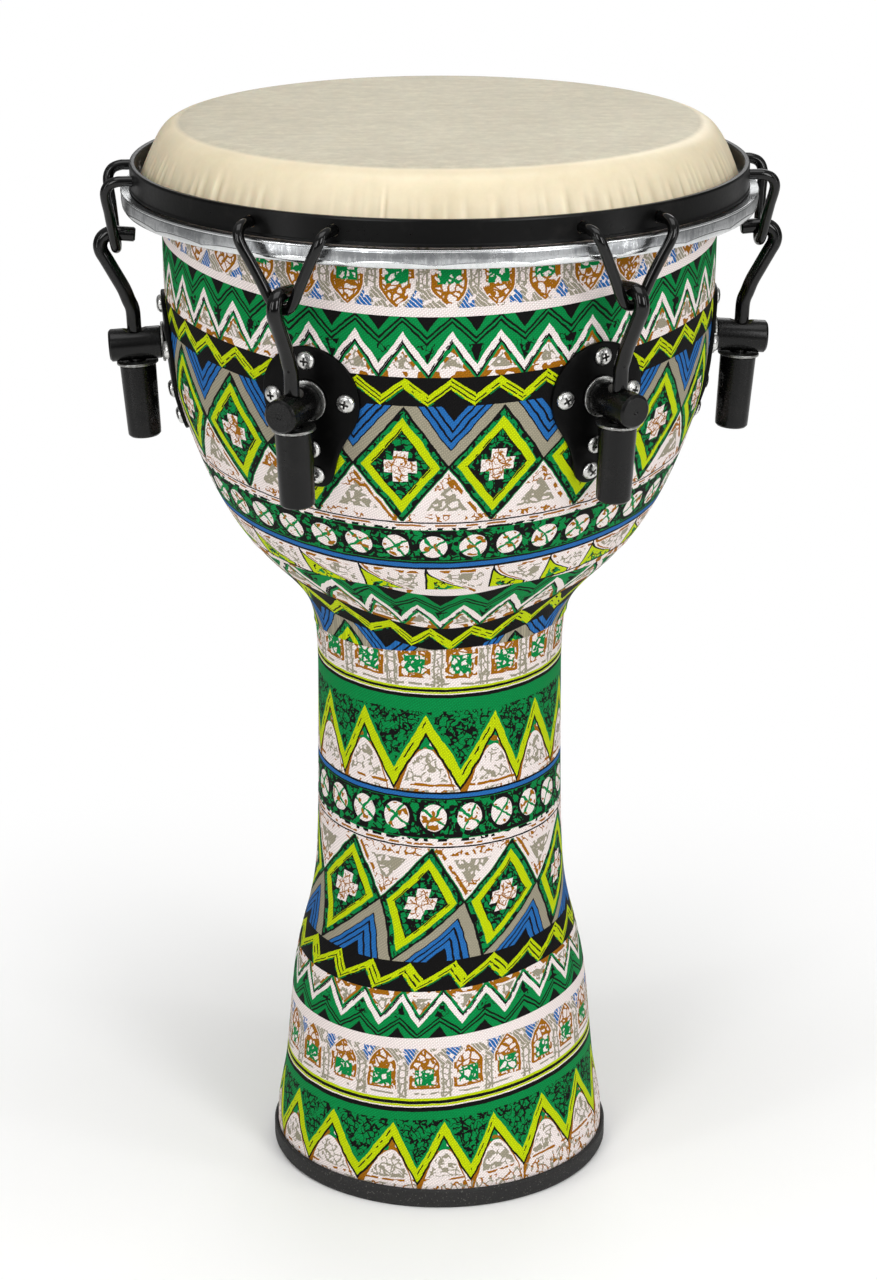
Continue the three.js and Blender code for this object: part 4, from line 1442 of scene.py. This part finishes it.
def build_screws():
    head, head_slots = screw_head()
    shank = lathe(fillet([(0, 0.0, 0), (2.0, 0.0, 0), (2.0, -15.2, 0.5), (1.4, -15.9, 0),
                          (0, -15.9, 0)], 3), 16, closed=False)
    shank_slots = [0] * len(shank[1])
    for side, degrees in LUGS.items():
        verts, faces, slots = [], [], []
        for tangential, height in SCREWS:
            seat = on_bowl(tangential, height, 2.35)
            outward = unit(on_bowl(tangential, height, 3.35) - seat)
            level = unit(np.cross(np.array([0, 0, 1.0]), outward))
            upward = np.cross(outward, level)
            a = random.uniform(0, math.pi / 2)
            frame = frame_matrix(level * math.cos(a) + upward * math.sin(a),
                                 -level * math.sin(a) + upward * math.cos(a), outward, seat)
            for shape, shape_slots in ((head, head_slots), (shank, shank_slots)):
                base = len(verts)
                placed, shape_faces = spun(moved(shape, frame), degrees)
                verts += list(placed)
                faces += [[base + i for i in face] for face in shape_faces]
                slots += shape_slots
        name = "Lug_screws_" + side
        screws = make(name, (verts, faces), [ZINC, DARK_STEEL], slots, sharp=40, outward=False)
        place(screws, "drum", "zinc", name.lower())


def build_plates():
    """Plates outside the wall, their screws, and smaller backing plates inside."""
    shape = bent_plate(teardrop(), low=0.3, high=2.3, edge=0.45)
    plates = copies(make("Lug_plate", shape, [BLACK_PLATE], sharp=45))
    build_screws()
    smaller = teardrop() * np.array([0.96, 0.97])
    shape = bent_plate(smaller, low=-12.8, high=-10.9, edge=0.3)
    for backing in copies(make("Lug_backing", shape, [DARK_STEEL], sharp=45)).values():
        place(backing, "drum", "zinc")
    place_lugs(plates, "drum", "black_hardware")


def build_posts():
    """Post with the rod's cross hole, flared at the top."""
    profile = fillet([(0, 14.2, 0), (0.9, 14.2, 0.2), (1.5, 14.7, 0.25), (7.7, 14.7, 0.35),
                      (9.0, 13.5, 0.45), (9.0, -13.6, 0.4), (8.5, -14.1, 0), (4.0, -14.1, 0),
                      (4.0, -32.0, 0.4), (3.4, -32.4, 0), (0, -32.4, 0)])
    materials = [BLACK_HARDWARE, EDGE_HIGHLIGHT]
    post = make("Lug_post", moved(lathe(profile, 64, closed=False), POST_FRAME), materials,
                sharp=40)
    hole = lathe([(0, -12), (5.4, -12), (5.4, -9.4), (4.7, -8.4), (4.7, 5.6), (5.1, 6.1),
                  (7.2, 9.6), (7.2, 12), (0, 12)], 40, closed=False)
    verts, faces = hole
    # the hole's flared mouth takes slot 1, the grey metal of the painted edge highlight
    slots = [int(5.6 < np.mean([verts[i][2] for i in face]) < 9.5) for face in faces]
    cut(post, [make("cutter", moved(hole, ROD_FRAME), materials, slots)], sharp=35)
    place_lugs(copies(post), "drum", "black_hardware")


def build_washers():
    for name, frame, outline in (
            ("Post_washer", POST_FRAME,
             [(5.2, -15.8, 0.3), (11.0, -15.8, 0.35), (11.0, -14.4, 0.5), (5.2, -14.4, 0.3)]),
            ("Nut_washer", ROD_FRAME,
             [(4.9, -10.85, 0.3), (11.5, -10.85, 0.4), (11.5, -9.35, 0.5), (4.9, -9.35, 0.3)])):
        shape = moved(lathe(ring_fillet(outline), 64), frame)
        place_lugs(copies(make(name, shape, [PLAIN_WASHER], sharp=60)), "drum", "zinc")


def build_nuts():
    """Tuning nuts: tapered barrel, bored through, with a square socket below."""
    outline = ring_fillet([(4.8, -11.2, 0.3), (9.7, -11.2, 0.4), (10.0, -11.8, 0.4),
                           (9.25, -48.5, 3.0), (9.1, -51.0, 0.7), (8.0, -52.2, 0.6),
                           (4.8, -52.2, 0.2)])
    materials = [BLACK_HARDWARE, DARK_STEEL]
    nut = make("Tuning_nut", moved(lathe(outline, 64), ROD_FRAME), materials, sharp=50)
    h = 5.4                         # half the socket's width
    box = [(x, y, z) for z in (-44.0, -54.0) for x, y in ((-h, -h), (h, -h), (h, h), (-h, h))]
    faces = [[0, 1, 2, 3], [7, 6, 5, 4], [0, 4, 5, 1], [1, 5, 6, 2], [2, 6, 7, 3], [3, 7, 4, 0]]
    socket = make("cutter", moved((box, faces), ROD_FRAME), materials, [1] * 6, smooth=False)
    cut(nut, [socket], sharp=35)
    place_lugs(copies(nut), "nut_", "black_hardware")


def build_hooks():
    """Tension hooks: straight up the rod, then out, up and back over the hoop."""
    bend = [(170.9, 512), (173.3, 518.2), (177.6, 526.2), (182.8, 535.6), (184.9, 539.4),
            (185.5, 543), (184.0, 546.9), (180.8, 549.1), (177.6, 549.4), (172, 549.0),
            (166.2, 548.5)]
    knots = [CROSSING + ROD * along for along in (-38, -10, 8, 20)]
    knots += [(x, 0.0, z) for x, z in bend]
    shape = tube(spline(knots, step=1.0), radius=4.0, sides=32, chamfer=0.9)
    hook = make("Tension_hook", shape, [BLACK_ROD], sharp=40, outward=False)
    place_lugs(copies(hook), "hook_", "black_hardware")


def build_clips():
    """V clips: both ends in the counterhoop, the point hanging below."""
    half = [(164.5, CLIP_SPREAD, CLIP_HEIGHT), (170.0, CLIP_SPREAD, CLIP_HEIGHT),
            (174.2, 24, 582.2), (178.6, 23.6, 580.4), (180.8, 22.4, 576.4),
            (179.4, 15.6, 563.5), (178.2, 10.6, 553.9), (177.4, 7.1, 546.7),
            (176.8, 3.9, 542.5)]
    knots = half + [(176.7, 0, 541.2)] + [(x, -y, z) for x, y, z in half[::-1]]
    shape = tube(spline(knots, step=0.9), radius=2.9, sides=24, chamfer=0.7)
    clip = make("V_clip", shape, [BLACK_ROD], sharp=40, outward=False)
    place_lugs(copies(clip), "clip_", "black_hardware")


build_plates()
build_posts()
build_washers()
build_nuts()
build_hooks()
build_clips()


# ------------------------------------------------------------------ floor, light and camera
def floor_material():
    """Near-white floor that fades to pure white away from the drum, for the camera only."""
    s = Shader("Studio floor")
    s.set(Base_Color=mix_color(s.noise(scale=3.0, detail=3.0),
                               srgb(246, 245, 244), srgb(250, 250, 249)),
          Roughness=0.7,
          Specular_IOR_Level=0.2)
    x, y, _ = s.split(s.position)
    away = remap(distance(x, y), (0.12, 0.62), (0.0, 1.0), interpolation_type="SMOOTHSTEP")
    path = s.node("ShaderNodeLightPath")
    glow = s.node("ShaderNodeEmission")
    glow.inputs[0].default_value = (1, 1, 1, 1)
    mix = s.node("ShaderNodeMixShader")
    s.put(mix.inputs[0], away * Value(s, path.outputs["Is Camera Ray"]))
    s.put(mix.inputs[1], s.surface.outputs[0])
    s.put(mix.inputs[2], glow.outputs[0])
    s.put(s.output.inputs[0], mix.outputs[0])
    return s.material


def build_floor():
    corners = [(-9000, -5000, 0), (9000, -5000, 0), (9000, 9000, 0), (-9000, 9000, 0)]
    floor = make("Floor", (corners, [[0, 1, 2, 3]]), [floor_material()], smooth=False,
                 outward=False)


def build_world():
    """White to the camera; as light, dim at the horizon and bright overhead."""
    world = bpy.data.worlds.new("Studio")
    bpy.context.scene.world = world
    world.use_nodes = True
    nodes = Nodes(world.node_tree)
    output = nodes.node("ShaderNodeOutputWorld")
    up = nodes.split(nodes.node("ShaderNodeTexCoord").outputs["Generated"])[2]
    room = nodes.node("ShaderNodeBackground")
    nodes.put(room.inputs[1], remap(up, (0.05, 0.85), (0.16, 0.62)))
    white = nodes.node("ShaderNodeBackground")
    white.inputs[0].default_value = (1, 1, 1, 1)
    path = nodes.node("ShaderNodeLightPath")
    mix = nodes.node("ShaderNodeMixShader")
    nodes.put(mix.inputs[0], path.outputs["Is Camera Ray"])
    nodes.put(mix.inputs[1], room.outputs[0])
    nodes.put(mix.inputs[2], white.outputs[0])
    nodes.put(output.inputs[0], mix.outputs[0])


def aim(ob, at, target):
    ob.location = at
    ob.rotation_euler = (Vector(target) - Vector(at)).to_track_quat("-Z", "Y").to_euler()


# name, place, target, (width, height), power in watts
AREA_LIGHTS = [
    ("Front left", (-1.3, -2.2, 1.5), (0, 0, 0.36), (0.7, 1.5), 20),
    ("Front right", (1.3, -2.2, 1.45), (0, 0, 0.36), (0.7, 1.5), 28),
    ("Top", (0.0, -0.3, 2.1), (0, 0, 0.4), (1.6, 1.2), 15),
    ("Strip left", (-1.5, -0.9, 0.85), (0, 0, 0.5), (0.12, 1.5), 5),
    ("Strip right", (1.5, -0.8, 0.85), (0, 0, 0.5), (0.12, 1.5), 4),
    ("Back", (0.4, 2.2, 1.7), (0, 0, 0.4), (1.6, 1.2), 14)]


def build_lights():
    for name, at, target, size, power in AREA_LIGHTS:
        light = bpy.data.lights.new(name, "AREA")
        light.shape = "RECTANGLE"
        light.size, light.size_y = size
        light.energy = power
        ob = bpy.data.objects.new(name, light)
        bpy.context.scene.collection.objects.link(ob)
        aim(ob, at, target)


FOCAL_LENGTH = 93.51                # on a sensor 36 mm wide
CAMERA_RISE = math.radians(18.956)  # angle above the target
CAMERA_DISTANCE = 1.8998
TARGET_SIDE, TARGET_HEIGHT = -0.00056, 0.3112


def build_camera():
    data = bpy.data.cameras.new("Camera")
    camera = bpy.data.objects.new("Camera", data)
    bpy.context.scene.collection.objects.link(camera)
    data.sensor_width = 36.0
    data.lens = FOCAL_LENGTH
    data.clip_start = 0.05
    data.clip_end = 60.0
    turn = math.radians(-TURN)
    right = Vector((math.cos(turn), math.sin(turn), 0))
    toward_camera = Vector((math.sin(turn), -math.cos(turn), 0))
    target = right * TARGET_SIDE + Vector((0, 0, TARGET_HEIGHT))
    at = (target + toward_camera * (CAMERA_DISTANCE * math.cos(CAMERA_RISE))
          + Vector((0, 0, CAMERA_DISTANCE * math.sin(CAMERA_RISE))))
    aim(camera, at, target)
    bpy.context.scene.camera = camera


build_floor()
build_world()
build_lights()
build_camera()
bpy.context.scene.view_settings.view_transform = "Standard"
bpy.context.scene.view_settings.look = "None"
